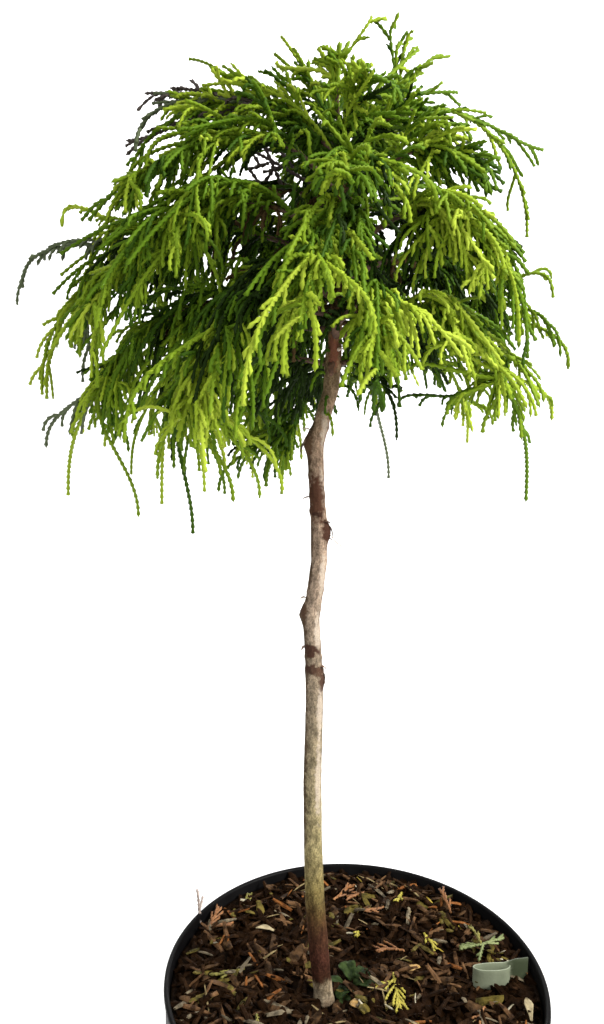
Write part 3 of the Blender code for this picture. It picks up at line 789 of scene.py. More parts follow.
# %% [markdown]
# ## The stem
# The stem is a rootstock with a graft near its head. Its bark is thin and pale, with rings
# and scars where side shoots were cut, and it is dark and wet just above the mulch. The
# solid's skin is built again with a ring every millimetre, and noise pushes it in and out:
# long ridges, cracks round the knobs and fine flakes.

# %% Shape the bark
STEM_RING_GAP = 0.0011
STEM_STEPS = 44
SCARS = ((0.3035, 0.0007, 0.0016), (0.3095, 0.0006, 0.0012), (0.3420, 0.0004, 0.0014),
         (0.3790, 0.0007, 0.0018), (0.3870, 0.0006, 0.0013), (0.3965, 0.0005, 0.0016),
         (0.4180, 0.0006, 0.0018), (0.4490, 0.0006, 0.0020), (0.1440, 0.0004, 0.0018))


def bark_radius(height, angle):
    """Radius of the bark: the skin, with ridges, flakes, scars and cut knobs."""
    radius = stem_skin(height, angle)
    out = bearing(angle, 0.0)
    spot = Vector((out[0] * 0.9, out[1] * 0.9, height * 45))
    ridge = noise.noise(Vector((spot.x * 3.2, spot.y * 3.2, spot.z * 0.55)))
    flake = noise.noise(Vector((spot.x * 7.0, spot.y * 7.0, spot.z * 5.5)))
    pit = noise.noise(Vector((spot.x * 16.0, spot.y * 16.0, spot.z * 14.0)))
    relief = 0.00022 * ridge + 0.00013 * flake + 0.00007 * pit
    for level, depth, half in SCARS:
        wander = 0.0012 * noise.noise(Vector((out[0] * 1.4, out[1] * 1.4, level * 90)))
        relief += depth * 0.45 * math.exp(-((height - level - wander) / half) ** 2) * (1 + 1.5 * flake)
    for level, bear, _, half in KNOBS:
        turn = max(0.0, math.cos(angle - math.radians(bear)))
        near = math.exp(-((height - level) / half) ** 2) * turn ** 2
        relief += 0.0006 * near * noise.noise(Vector((spot.x * 9, spot.y * 9, spot.z * 9)))
    thin = min(1.0, radius / 0.0035)
    return radius + relief * thin


def stem_mesh(finish):
    low, high = STEM[0][0], STEM[-1][0]
    count = int((high - low) / STEM_RING_GAP) + 1
    rows = []
    for height in np.linspace(low, high, count):
        centre = stem_at(height)
        for k in range(STEM_STEPS):
            angle = 2 * math.pi * k / STEM_STEPS
            rows.append(centre + bearing(angle, 0.0) * bark_radius(height, angle))
    rows += [stem_at(low), stem_at(high) + np.array([0, 0, 0.0008])]
    faces = [tuple(f) for f in grid_faces(count, STEM_STEPS)]
    last = (count - 1) * STEM_STEPS
    for k in range(STEM_STEPS):
        n = (k + 1) % STEM_STEPS
        faces.append((len(rows) - 2, n, k))
        faces.append((len(rows) - 1, last + k, last + n))
    return mesh_object("stem", rows, faces, finish)


# %% [markdown]
# The stem's colours have a place on it: pale where it meets the mix, red-brown and wet above
# that, grey-green with algae on the lower half, then pale tan, and brown in the crown. A
# colour ramp over the height gives them, and noise bends the bands so no edge is a straight
# ring. Where a side shoot was cut the bark is torn and brown: each such patch is an oval mask
# with a ragged edge, made by one node group.

# %% Paint the bark
# height, colour
BARK_BANDS = (
    (0.134, (0.15, 0.11, 0.07)), (0.1405, (0.3, 0.24, 0.16)), (0.1445, (0.24, 0.18, 0.11)),
    (0.1475, (0.04, 0.016, 0.008)), (0.158, (0.066, 0.024, 0.015)), (0.171, (0.065, 0.028, 0.014)),
    (0.183, (0.085, 0.05, 0.018)), (0.194, (0.18, 0.14, 0.05)), (0.215, (0.262, 0.218, 0.105)),
    (0.245, (0.235, 0.192, 0.11)), (0.285, (0.226, 0.178, 0.12)), (0.34, (0.262, 0.196, 0.142)),
    (0.395, (0.27, 0.188, 0.132)), (0.425, (0.3, 0.2, 0.13)), (0.445, (0.24, 0.165, 0.09)),
    (0.462, (0.2, 0.115, 0.06)), (0.48, (0.08, 0.045, 0.02)), (0.556, (0.06, 0.038, 0.016)),
)
# x, y and z of the middle, half width, half height, colour, strength
BARK_PATCHES = (
    (-0.0235, -0.0095, 0.3855, 0.005, 0.0122, (0.066, 0.027, 0.015), 0.97),
    (-0.0225, -0.0095, 0.3782, 0.0034, 0.0014, (0.035, 0.016, 0.01), 0.85),
    (-0.0172, -0.008, 0.37, 0.0038, 0.0056, (0.05, 0.02, 0.012), 0.97),
    (-0.0278, -0.008, 0.332, 0.002, 0.0042, (0.08, 0.045, 0.028), 0.9),
    (-0.0188, -0.0085, 0.325, 0.0018, 0.0026, (0.095, 0.05, 0.028), 0.92),
    (-0.0255, -0.0095, 0.3133, 0.0056, 0.0032, (0.048, 0.022, 0.014), 0.97),
    (-0.0245, -0.0095, 0.3045, 0.005, 0.0026, (0.048, 0.022, 0.014), 0.94),
    (-0.02, -0.0095, 0.303, 0.003, 0.0026, (0.085, 0.045, 0.028), 0.9),
    (-0.0185, -0.0085, 0.299, 0.0026, 0.006, (0.06, 0.03, 0.02), 0.95),
    (-0.027, -0.0085, 0.41, 0.0022, 0.006, (0.1, 0.055, 0.032), 0.9),
    (-0.023, -0.0095, 0.434, 0.003, 0.009, (0.09, 0.075, 0.028), 0.8),
    (-0.0165, -0.009, 0.453, 0.0024, 0.009, (0.26, 0.1, 0.062), 0.95),
    (-0.02, -0.002, 0.35, 0.004, 0.004, (0.11, 0.062, 0.038), 0.85),
    (-0.023, -0.001, 0.28, 0.004, 0.0022, (0.08, 0.045, 0.028), 0.85),
)


def patch_group():
    """A mask that is 1 in a ragged oval round a place and 0 away from it."""
    group, given, result = new_group(
        "Bark patch",
        [("Middle", "Vector", (0, 0, 0)), ("Turns per Metre", "Vector", (1, 1, 1)),
         ("Ragged", "Float", 1.7)],
        [("Mask", "Float")],
    )
    place = add_node(group, "ShaderNodeTexCoord")
    offset = add_node(group, "ShaderNodeVectorMath", operation="SUBTRACT")
    scaled = add_node(group, "ShaderNodeVectorMath", operation="MULTIPLY")
    away = add_node(group, "ShaderNodeVectorMath", operation="LENGTH")
    edge = add_node(group, "ShaderNodeTexNoise", {"Scale": 420.0, "Detail": 5.0})
    ragged = add_node(group, "ShaderNodeMath", operation="MULTIPLY_ADD")
    fade = add_node(group, "ShaderNodeMapRange", {"From Min": 2.05, "From Max": 1.45},
                    interpolation_type="SMOOTHSTEP")
    wire(group, (place, "Object", offset, 0), (given, "Middle", offset, 1),
         (offset, "Vector", scaled, 0), (given, "Turns per Metre", scaled, 1),
         (scaled, "Vector", away, 0), (place, "Object", edge, "Vector"), (edge, "Fac", ragged, 0),
         (given, "Ragged", ragged, 1), (away, "Value", ragged, 2), (ragged, 0, fade, "Value"),
         (fade, "Result", result, "Mask"))
    return group


def banded_colour(tree, place):
    """Colour by height, with bands that wander: a node and its output."""
    split = add_node(tree, "ShaderNodeSeparateXYZ")
    wander = add_node(tree, "ShaderNodeTexNoise", {"Scale": 190.0, "Detail": 4.0})
    bend = add_node(tree, "ShaderNodeMath", {1: 0.016}, operation="MULTIPLY_ADD")
    low, high = BARK_BANDS[0][0], BARK_BANDS[-1][0]
    height = add_node(tree, "ShaderNodeMapRange", {"From Min": low + 0.008, "From Max": high + 0.008})
    ramp = add_node(tree, "ShaderNodeValToRGB")
    stops = ramp.color_ramp.elements
    for level, colour in BARK_BANDS[1:-1]:
        stops.new((level - low) / (high - low)).color = (*colour, 1.0)
    stops[0].color = (*BARK_BANDS[0][1], 1.0)
    stops[-1].color = (*BARK_BANDS[-1][1], 1.0)
    wire(tree, (place, "Object", split, "Vector"), (place, "Object", wander, "Vector"),
         (wander, "Fac", bend, 0), (split, "Z", bend, 2), (bend, 0, height, "Value"),
         (height, "Result", ramp, "Fac"))
    return ramp, "Color"


def toned(tree, colour, place, stretch, low, high):
    """The colour times a stretched noise, for streaks and flakes."""
    spread = add_node(tree, "ShaderNodeMapping", {"Scale": stretch})
    cloud = add_node(tree, "ShaderNodeTexNoise", {"Scale": 1.0, "Detail": 6.0, "Roughness": 0.65})
    tone = add_node(tree, "ShaderNodeMapRange", {
        "From Min": 0.34, "From Max": 0.62, "To Min": low, "To Max": high})
    shade = add_node(tree, "ShaderNodeMix", {"Factor": 1.0}, data_type="RGBA", blend_type="MULTIPLY")
    wire(tree, (place, "Object", spread, "Vector"), (spread, "Vector", cloud, "Vector"),
         (cloud, "Fac", tone, "Value"), (*colour, shade, "A"), (tone, "Result", shade, "B"))
    return shade, "Result"


# Painted shade and painted highlight: brown strips darken the stem's left side, away from the light, and
# pale strips lighten its right side, where the light falls.
# height, brown or pale, half height of the strip
SIDE_SHADE_AND_LIGHT_STRIPS = (
    (0.232, "brown", 0.026), (0.268, "brown", 0.024), (0.304, "brown", 0.026), (0.33, "brown", 0.022),
    (0.362, "brown", 0.022), (0.392, "brown", 0.02), (0.418, "brown", 0.02), (0.25, "pale", 0.02),
    (0.284, "pale", 0.013), (0.322, "pale", 0.01), (0.348, "pale", 0.012), (0.392, "pale", 0.012),
    (0.415, "pale", 0.012),
)
# brown is painted shade, pale is painted highlight: x and y from the stem's middle, half width, colour,
# strength
SIDE_STRIP_OFFSETS = {"brown": (-0.0046, -0.0016, 0.0024, (0.060, 0.036, 0.020), 0.85),
                 "pale": (0.0030, -0.0034, 0.0020, (0.560, 0.470, 0.380), 0.60)}


def side_shade_and_light_strips():
    """The painted shade and highlight strips as patches: middle, half width, half height, colour,
    strength.
    """
    rows = []
    for height, which, high in SIDE_SHADE_AND_LIGHT_STRIPS:
        x, y, wide, colour, strength = SIDE_STRIP_OFFSETS[which]
        centre = stem_at(height)
        rows.append((centre[0] + x, centre[1] + y, height, wide, high, colour, strength))
    return rows


def bark_finish():
    finish, tree, shader = new_finish("Thin pale bark", (0.33, 0.25, 0.17), 0.78,
                                      Specular_IOR_Level=0.08)
    place = add_node(tree, "ShaderNodeTexCoord")
    colour = banded_colour(tree, place)
    colour = toned(tree, colour, place, (420.0, 420.0, 200.0), 0.48, 1.36)
    colour = toned(tree, colour, place, (1500.0, 1500.0, 900.0), 0.50, 1.32)
    patches = patch_group()
    # the painted shade and highlight strips come first, then the patches of bark
    for x, y, z, wide, high, patch_colour, strength in side_shade_and_light_strips() + list(BARK_PATCHES):
        patch = add_node(tree, "ShaderNodeGroup", {
            "Middle": (x, y, z), "Turns per Metre": (1 / wide, 1 / wide, 1 / high),
        }, node_tree=patches)
        strong = add_node(tree, "ShaderNodeMath", {1: strength}, operation="MULTIPLY")
        mix = add_node(tree, "ShaderNodeMix", {"B": (*patch_colour, 1.0)}, data_type="RGBA")
        wire(tree, (patch, "Mask", strong, 0), (strong, 0, mix, "Factor"), (*colour, mix, "A"))
        colour = mix, "Result"
    colour = toned(tree, colour, place, (2600.0, 2600.0, 1800.0), 0.75, 1.10)
    surface = add_node(tree, "ShaderNodeGroup", {"Scale": 1100.0, "Depth": 0.0004},
                       node_tree=FINE_SURFACE)
    wire(tree, (*colour, shader, "Base Color"), (surface, "Normal", shader, "Normal"))
    return finish


bark = bark_finish()
stem = stem_mesh(bark)
dress(stem, ["trunk"])

# %% [markdown]
# ## The rule of the crown
# The crown is six tiers of boughs. Each bough carries one mass of foliage: a spine that leaves
# the bough's tip, arches over and hangs. The rule is the same as in the solids, with the same
# seed, so every spine lies where its solid does. A curve here is a short list of control
# points, a Bezier curve of any degree.

# %% Crown sizes and curves
CROWN_RADIUS = 0.1240
CROWN_DEPTH_SHARE = 0.86
CROWN_BACK = 0.0060
HEM_HEIGHT = 0.4080
HEM_SWING = 0.0080
LOWEST_TIER = 0.4470
HIGHEST_TIER = 0.5540
HEM_CENTRE_X = -0.0340
TOP_CENTRE_X = 0.0020
TIERS = (
    ("under", 3, 205, 0.447, 0.004, 8, 0.0, 0.46, 0.412, 78, 7),
    ("skirt", 8, 20, 0.461, 0.0021, 8, 0.02, 0.86, None, 74, 9),
    ("shoulder", 7, 15, 0.486, 0.003, 22, 0.02, 1.03, 0.456, 50, 9),
    ("upper", 6, 34, 0.512, 0.003, 32, 0.018, 0.86, 0.508, 24, 9),
    ("crest", 5, 55, 0.533, 0.003, 44, 0.0, 0.68, 0.56, -4, 8),
    ("top", 3, 15, 0.549, 0.0025, 50, 0.0, 0.34, 0.594, -62, 5),
)
SEED = 139
TIP_SPREAD = 0.0150
FORKED_CORDS = 4
BOUGH_ROOT_RADIUS = 0.0016
SPINE_RADIUS = 0.0018
UP = np.array([0.0, 0.0, 1.0])


def bezier(control, t):
    points = [np.asarray(c, float) for c in control]
    while len(points) > 1:
        points = [a * (1 - t) + b * t for a, b in zip(points, points[1:])]
    return points[0]


def slope(control, t):
    return unit(bezier([b - a for a, b in zip(control, control[1:])], t))


def along(control, count, end=1.0):
    return np.array([bezier(control, end * k / count) for k in range(count + 1)])


def curve_points(control, shares):
    """Points and unit directions of a curve at many shares of its length at once."""
    t = shares[:, None]
    if len(control) == 3:
        a, b, c = control
        spots = a * (1 - t) ** 2 + b * 2 * t * (1 - t) + c * t ** 2
        runs = (b - a) * (1 - t) + (c - b) * t
    else:
        a, b, c, d = control
        spots = a * (1 - t) ** 3 + b * 3 * t * (1 - t) ** 2 + c * 3 * t ** 2 * (1 - t) + d * t ** 3
        runs = (b - a) * (1 - t) ** 2 + (c - b) * 2 * t * (1 - t) + (d - c) * t ** 2
    return spots, runs / np.linalg.norm(runs, axis=1, keepdims=True)


def distances(points, starts, ends):
    """Distance of every point from every segment."""
    run = ends - starts
    offset = points[:, None, :] - starts[None]
    t = np.clip((offset * run[None]).sum(2) / (run * run).sum(1)[None], 0.0, 1.0)
    return np.linalg.norm(offset - t[..., None] * run[None], axis=2)


# %% [markdown]
# A limb starts a hair clear of the stem, so its start is found by sliding its flat end in
# along its heading until it almost touches the bark. After that each tier deals its limbs
# round the stem, and each spine runs from the limb's tip to its place in the crown's outline.

# %% Plan the limbs and spines
def spokes(direction, sides):
    """Unit spokes of a ring square to a direction."""
    normal = UP if abs(direction[2]) < 0.9 else np.array([1.0, 0.0, 0.0])
    normal = unit(normal - direction * float(normal @ direction))
    across = np.cross(direction, normal)
    angles = [2 * math.pi * k / sides for k in range(sides)]
    return [normal * math.cos(a) + across * math.sin(a) for a in angles]


def seat(level, heading, radius, sides):
    """The start of a limb whose flat end stands clear of the stem by the gap."""
    ring = [spoke * radius for spoke in spokes(heading, sides)]
    ring += [(a + b) / 2 for a, b in zip(ring, ring[1:] + ring[:1])]
    stations = np.array([s[:3] for s in STEM])[:, [1, 2, 0]]
    away = 0.0100
    while away > 0.0:
        points = stem_at(level) + heading * away + np.array(ring)
        near = distances(points, stations[:-1], stations[1:]).min(1)
        for point, distance in zip(points, near):
            spoke = point - stem_at(point[2])
            if distance < stem_skin(point[2], math.atan2(spoke[1], spoke[0])) + GAP:
                return stem_at(level) + heading * (away + 0.00004)
        away -= 0.00004
    return stem_at(level)


def crown_plan():
    dice = random.Random(SEED)
    plan = []
    for name, count, first, height, step, rise, length, share, tip_height, fall, sides in TIERS:
        for i in range(count):
            angle = math.radians(first + 360 / count * (i + dice.uniform(-0.12, 0.12)))
            level = height + step * ((i * 3) % count)
            heading = bearing(angle, math.radians(rise + dice.uniform(-5, 5)))
            root = seat(level, heading, *((BOUGH_ROOT_RADIUS, 6) if length else (SPINE_RADIUS, 3)))
            start = root + heading * length
            reach = CROWN_RADIUS * share * dice.uniform(0.94, 1.02)
            lift = (level - LOWEST_TIER) / (HIGHEST_TIER - LOWEST_TIER)
            centre_x = HEM_CENTRE_X + (TOP_CENTRE_X - HEM_CENTRE_X) * lift ** 3
            if tip_height is None:
                low = HEM_HEIGHT + HEM_SWING * math.cos(angle) + dice.uniform(-0.007, 0.007)
            else:
                low = tip_height + dice.uniform(-TIP_SPREAD, TIP_SPREAD)
            tip = np.array([centre_x + reach * math.cos(angle),
                            CROWN_BACK + CROWN_DEPTH_SHARE * reach * math.sin(angle), low])
            limb = [root, root + heading * length / 2, start] if length else None
            start = start + heading * (GAP if length else 0.0)
            span = float(np.linalg.norm(tip - start))
            last = bearing(angle, -math.radians(fall))
            plan.append({
                "name": f"{name}_{i + 1}", "tier": name, "angle": angle, "limb": limb,
                "spine": [start, start + heading * span * 0.42, tip - last * span * 0.42, tip],
                "span": span, "fall": fall, "sides": sides, "seed": dice.random(),
            })
    return plan


PLAN = crown_plan()
print("masses:", len(PLAN), "boughs:", sum(1 for entry in PLAN if entry["limb"]))

# %% [markdown]
# Each mass keeps to its own space: a cord may run only where its own spine is nearer than any
# other, by a margin. The solids need a wide margin, so that they stay apart. The fine cords
# here take a thin one, and fill the spaces between the solids' cords. They also stay inside
# the crown's outline, which is a table of height, middle and radius, and above its hem, the
# ragged lower edge, which hangs lowest on the left.

# %% Keep each mass to its space
# height, x of the middle, radius
OUTLINE = (
    (0.36, -0.034, 0.1), (0.4, -0.034, 0.108), (0.437, -0.034, 0.11), (0.46, -0.034, 0.107),
    (0.485, -0.038, 0.106), (0.505, -0.038, 0.101), (0.52, -0.036, 0.095), (0.535, -0.033, 0.088),
    (0.55, -0.031, 0.075), (0.56, -0.034, 0.063), (0.568, -0.034, 0.052), (0.575, -0.031, 0.038),
    (0.581, -0.012, 0.03), (0.586, 0.006, 0.018), (0.6, 0.009, 0.01), (0.609, 0.009, 0.004),
)
# x, height of the hem
HEM = ((-0.165, 0.438), (-0.130, 0.438), (-0.105, 0.434), (-0.085, 0.420), (-0.060, 0.410),
       (-0.038, 0.411), (-0.026, 0.427), (-0.004, 0.447), (0.020, 0.454), (0.045, 0.453),
       (0.062, 0.440), (0.090, 0.432))
# the back reaches further out than the front, for the same radius
BACK_DEPTH_SHARE = 1.10


def outline_share(points):
    """How far out points are: 0 on the crown's middle line, 1 on its outline."""
    z = points[:, 2]
    middle = np.interp(z, [row[0] for row in OUTLINE], [row[1] for row in OUTLINE])
    radius = np.interp(z, [row[0] for row in OUTLINE], [row[2] for row in OUTLINE])
    depth = points[:, 1] - CROWN_BACK
    deep = np.where(depth > 0.0, BACK_DEPTH_SHARE, CROWN_DEPTH_SHARE)
    return np.hypot(points[:, 0] - middle, depth / deep) / radius


# The photograph shows sky through the crown at a few places, and the stem's bark at another.
# Each is kept open by a straight passage: a point on it, its direction and its radius.
PASSAGES = (
    (np.array([-0.049, 0.0, 0.537]), np.array([-0.050, 0.944, 0.318]), 0.0070),
    (np.array([-0.0915, 0.0, 0.5487]), np.array([-0.156, 0.927, 0.342]), 0.0036),
    (np.array([-0.1013, 0.0, 0.5443]), np.array([-0.181, 0.926, 0.330]), 0.0030),
    (np.array([-0.0165, -0.0095, 0.4520]), np.array([0.037, 0.993, 0.109]), 0.0042),
)


def in_passage(points):
    inside = np.zeros(len(points), bool)
    for middle, direction, radius in PASSAGES:
        offset = points - middle
        along_it = (offset @ direction)[:, None] * direction
        inside |= np.linalg.norm(offset - along_it, axis=1) < radius
    return inside


class Space:
    def __init__(self, plan):
        pieces = 16
        lines = [along(entry["spine"], pieces) for entry in plan]
        self.starts = np.concatenate([line[:-1] for line in lines])
        self.ends = np.concatenate([line[1:] for line in lines])
        self.owner = np.repeat(np.arange(len(plan)), pieces)
        limbs = []
        for height in np.arange(0.43, STEM[-1][0], 0.004):
            top = min(height + 0.004, STEM[-1][0])
            limbs.append((stem_at(height), stem_at(top), stem_radius(height)))
        for entry in plan:
            if entry["limb"]:
                line = along(entry["limb"], 4)
                limbs += [(a, b, BOUGH_ROOT_RADIUS) for a, b in zip(line, line[1:])]
        self.limb_starts = np.array([limb[0] for limb in limbs])
        self.limb_ends = np.array([limb[1] for limb in limbs])
        self.limb_radii = np.array([limb[2] for limb in limbs])

    def clear(self, points, mine, margin, limb_gap, reach):
        away = distances(points, self.starts, self.ends)
        own = away[:, self.owner == mine].min(1)
        other = away[:, self.owner != mine].min(1)
        limb = (distances(points, self.limb_starts, self.limb_ends) - self.limb_radii).min(1)
        fine = (own <= other - margin) & (limb > limb_gap)
        if reach:
            hem = np.interp(points[:, 0], [row[0] for row in HEM], [row[1] for row in HEM])
            fine &= (outline_share(points) < reach) & (points[:, 2] > hem - (reach - 1) * 0.20)
            fine &= ~in_passage(points)
        return fine

    def kept(self, control, mine, margin, steps=12, limb_gap=0.0024, reach=None, free=0):
        """Share of a cord that keeps to its mass's space and clear of the limbs."""
        fine = self.clear(along(control, steps), mine, margin, limb_gap, reach)
        fine[:free] = True
        return 1.0 if fine.all() else max(0, int(np.argmin(fine)) - 1) / steps


SPACE = Space(PLAN)
print("segments that the spaces are measured from:", len(SPACE.starts))

# %% [markdown]
# ## One whipcord
# A cord is a twig wrapped in scale leaves in pairs, each pair a quarter turn from the last.
# At this size a scale is one corner of a four-sided tube: on every ring two opposite corners
# stand out and lean towards the tip, and the next ring's other two do the same. That gives the
# braided look and the saw-tooth edge for eight triangles a scale pair, so thousands of cords
# stay affordable.

# %% Braid a cord
SCALE_STEP = 0.00130
FINE_SCALE_STEP = 0.00145
TOOTH_OUT = 1.50
TOOTH_IN = 0.72
TOOTH_LEAN = 0.60


def cord_length(control):
    line = along(control, 8)
    return float(np.linalg.norm(np.diff(line, axis=0), axis=1).sum())


def tube_faces(rings, sides):
    """Triangles of a tube with a foot corner and a tip corner after its rings."""
    quads = grid_faces(rings, sides)
    k = np.arange(sides)
    last = (rings - 1) * sides
    foot = np.stack([(k + 1) % sides, k, np.full(sides, rings * sides)], 1)
    tip = np.stack([last + k, last + (k + 1) % sides, np.full(sides, rings * sides + 1)], 1)
    return np.concatenate([quads[:, [0, 1, 2]], quads[:, [0, 2, 3]], foot, tip])


def braided_cord(control, kept, radius, face, step=SCALE_STEP):
    """Corners and triangles of one cord whose broad side is square to the face direction."""
    rings = max(4, int(cord_length(control) * kept / step) + 1)
    spots, runs = curve_points(control, np.linspace(0.0, kept, rings))
    across = np.cross(runs, face)
    across /= np.linalg.norm(across, axis=1, keepdims=True) + 1e-12
    over = np.cross(runs, across)
    sides = np.stack([across, over * 0.9, -across, -over * 0.9], 1)
    parity = (np.arange(rings)[:, None] + np.arange(4)[None]) % 2 == 0
    taper = 1.0 - 0.16 * np.linspace(0, 1, rings) ** 2
    size = radius * np.where(parity, TOOTH_OUT, TOOTH_IN) * taper[:, None]
    lean = step * np.where(parity, TOOTH_LEAN, -0.12)
    corners = spots[:, None] + sides * size[..., None] + runs[:, None] * lean[..., None]
    ends = [spots[0] - runs[0] * radius * 0.5, spots[-1] + runs[-1] * (radius * 0.6 + step * 0.5)]
    return np.concatenate([corners.reshape(-1, 3), ends]), tube_faces(rings, 4)


def smooth_twig(control, kept, radii, sides=6, rings=10):
    """Corners and triangles of a smooth tapering twig."""
    spots, runs = curve_points(control, np.linspace(0.0, kept, rings))
    face = UP if abs(runs[0][2]) < 0.9 else np.array([1.0, 0.0, 0.0])
    across = np.cross(runs, face)
    across /= np.linalg.norm(across, axis=1, keepdims=True) + 1e-12
    over = np.cross(runs, across)
    turn = np.linspace(0, 2 * math.pi, sides, endpoint=False)
    ring = across[:, None] * np.cos(turn)[None, :, None] + over[:, None] * np.sin(turn)[None, :, None]
    size = np.linspace(radii[0], radii[1], rings)
    corners = (spots[:, None] + ring * size[:, None, None]).reshape(-1, 3)
    ends = [spots[0], spots[-1] + runs[-1] * radii[1]]
    return np.concatenate([corners, ends]), tube_faces(rings, sides)


trial = braided_cord([np.zeros(3), UP * 0.01, UP * 0.02], 1.0, 0.0011, np.array([1.0, 0, 0]))
print("a 20 mm cord has", len(trial[1]), "triangles")

# %% [markdown]
# ## Growing the masses
# The side cords and forks of the solids come first, dealt by the same dice. Finer cords
# follow: more side cords between the first ones, and short cords along every side cord. On the
# real plant they leave mostly to the left and right, at any angle from narrow to wide, and each
# one bends towards hanging. The outer end of a long cord is often bare. Nothing is even, or the
# spray would look like a fern.

# %% Grow the first cords of a mass
MARGIN = 0.0044
FINE_MARGIN = 0.0004
# how far out of the outline a cord of the solids may show, and the shortest end that is shown
SHOWN_REACH = 1.06
SHORTEST_SHOWN = 0.003
SHORTEST_SIDE_CORD = 0.011
SHORTEST_FORK = 0.010


def sideways(entry):
    """The level direction across a mass."""
    return np.array([-math.sin(entry["angle"]), math.cos(entry["angle"]), 0.0])


def droop_of(entry):
    return 1.0 if entry["fall"] > 30 else 0.4 if entry["fall"] > 5 else -0.1


def first_cords(entry, mine):
    """The side cords and forks that the solids have, each with the share that is kept."""
    dice = random.Random(entry["seed"])
    spine = entry["spine"]
    side = sideways(entry)
    cords = []
    for k in range(entry["sides"]):
        t = 0.10 + 0.76 * k / (entry["sides"] - 1)
        hand = 1 if k % 2 else -1
        heading = slope(spine, t)
        spread = math.radians(dice.uniform(30, 52))
        above = unit(np.cross(heading, side))
        above = above * (1 if above[2] > 0 else -1)
        out = heading * math.cos(spread) + side * hand * math.sin(spread)
        out = unit(out + above * dice.uniform(-0.25, 0.50))
        length = entry["span"] * dice.uniform(0.40, 0.60) * (1 - 0.5 * t)
        sag = dice.uniform(0.7, 1.2) * droop_of(entry)
        root = bezier(spine, t)
        cord = [root, root + out * length / 2, root + (out - UP * 0.5 * sag) * length]
        kept = SPACE.kept(cord, mine, MARGIN)
        if kept * length < SHORTEST_SIDE_CORD:
            continue
        shown = min(kept, SPACE.kept(cord, mine, MARGIN, reach=SHOWN_REACH))
        rooted = t < entry["kept"] and shown * length > SHORTEST_SHOWN
        if rooted:
            cords.append({"line": cord, "kept": shown, "order": 1, "t": t})
        if k >= FORKED_CORDS:
            continue
        t = dice.uniform(0.30, 0.60) * kept
        out = unit(slope(cord, t) - side * hand * dice.uniform(0.3, 0.7)
                   + UP * dice.uniform(-0.2, 0.2))
        fork_length = length * dice.uniform(0.35, 0.55)
        root = bezier(cord, t)
        fork = [root, root + out * fork_length / 2, root + (out - UP * 0.4 * sag) * fork_length]
        kept = SPACE.kept(fork, mine, MARGIN)
        if kept * fork_length >= SHORTEST_FORK and rooted and t < shown:
            shown = min(kept, SPACE.kept(fork, mine, MARGIN, reach=SHOWN_REACH))
            if shown * fork_length > SHORTEST_SHOWN:
                cords.append({"line": fork, "kept": shown, "order": 2, "t": t})
    return cords


# %% Grow the finer cords
def shoot(parent, t, face, spread, roll, length, sag, dice):
    """A cord that leaves its parent by a spread, at a roll about it, and bends down."""
    heading = slope(parent, t)
    side = np.cross(face, heading)
    side = side / (np.linalg.norm(side) + 1e-12)
    over = np.cross(heading, side)
    out = heading * math.cos(spread) + (side * math.cos(roll) + over * math.sin(roll)) * math.sin(spread)
    wander = np.cross(out, UP) * length * dice.uniform(-0.20, 0.20)
    root = bezier(parent, t)
    sag = min(1.1, sag * (0.60 + length / 0.045))
    fall = UP * sag * length
    return [root, root + out * length * 0.34 - wander * 0.5,
            root + (out * (0.66 - 0.14 * sag) + heading * 0.06) * length - fall * 0.22 + wander,
            root + (out * (0.82 - 0.34 * sag) + heading * 0.12) * length - fall * 0.74 + wander * 0.4]


def grow_along(parent, entry, mine, dice, spacing, share, lengths, spreads, turn, reach, gap, least,
               free=0, margin=FINE_MARGIN):
    """Shoots along a share of a cord at uneven steps, alternately to its two sides."""
    line, kept = parent["line"], parent["kept"]
    length = cord_length(line) * kept
    droop = 0.40 + 0.60 * max(0.0, droop_of(entry))
    place, hand, grown = share[0] * length, dice.choice((0, 1)), []
    while place < share[1] * length:
        t = kept * place / length
        roll = math.pi * hand + dice.gauss(0.0, turn)
        span = lengths[0] + (lengths[1] - lengths[0]) * dice.random() ** 1.5
        span *= 1.0 - 0.45 * place / length
        cord = shoot(line, t, parent["face"], math.radians(dice.uniform(*spreads)), roll, span,
                     dice.uniform(0.10, 1.25) * droop, dice)
        clear = SPACE.kept(cord, mine, margin, 6 + free, gap, reach, free)
        if clear * span > least:
            face = unit(parent["face"] + np.array([dice.uniform(-0.5, 0.5) for _ in range(3)]))
            grown.append({"line": cord, "kept": clear, "order": parent["order"] + 1, "face": face,
                          "t": place / length, "parent": parent})
        place += dice.uniform(*spacing)
        hand = 1 - hand
    return grown


LEADER_SHOOTS = 210
LEADER_SEED = 53
GOLDEN_TURN = math.radians(137.5)
FOLLOWERS = {"under": 6, "skirt": 10, "shoulder": 11, "upper": 9, "crest": 8, "top": 4}


def sagged(line, share):
    """The same three-point curve with its outer end bent down by a share of its length."""
    fall = UP * share * float(np.linalg.norm(line[2] - line[0]))
    return [line[0], (line[0] + line[1] * 2) / 3 + fall * 0.3, (line[1] * 2 + line[2]) / 3 + fall * 0.2,
            line[2] - fall]


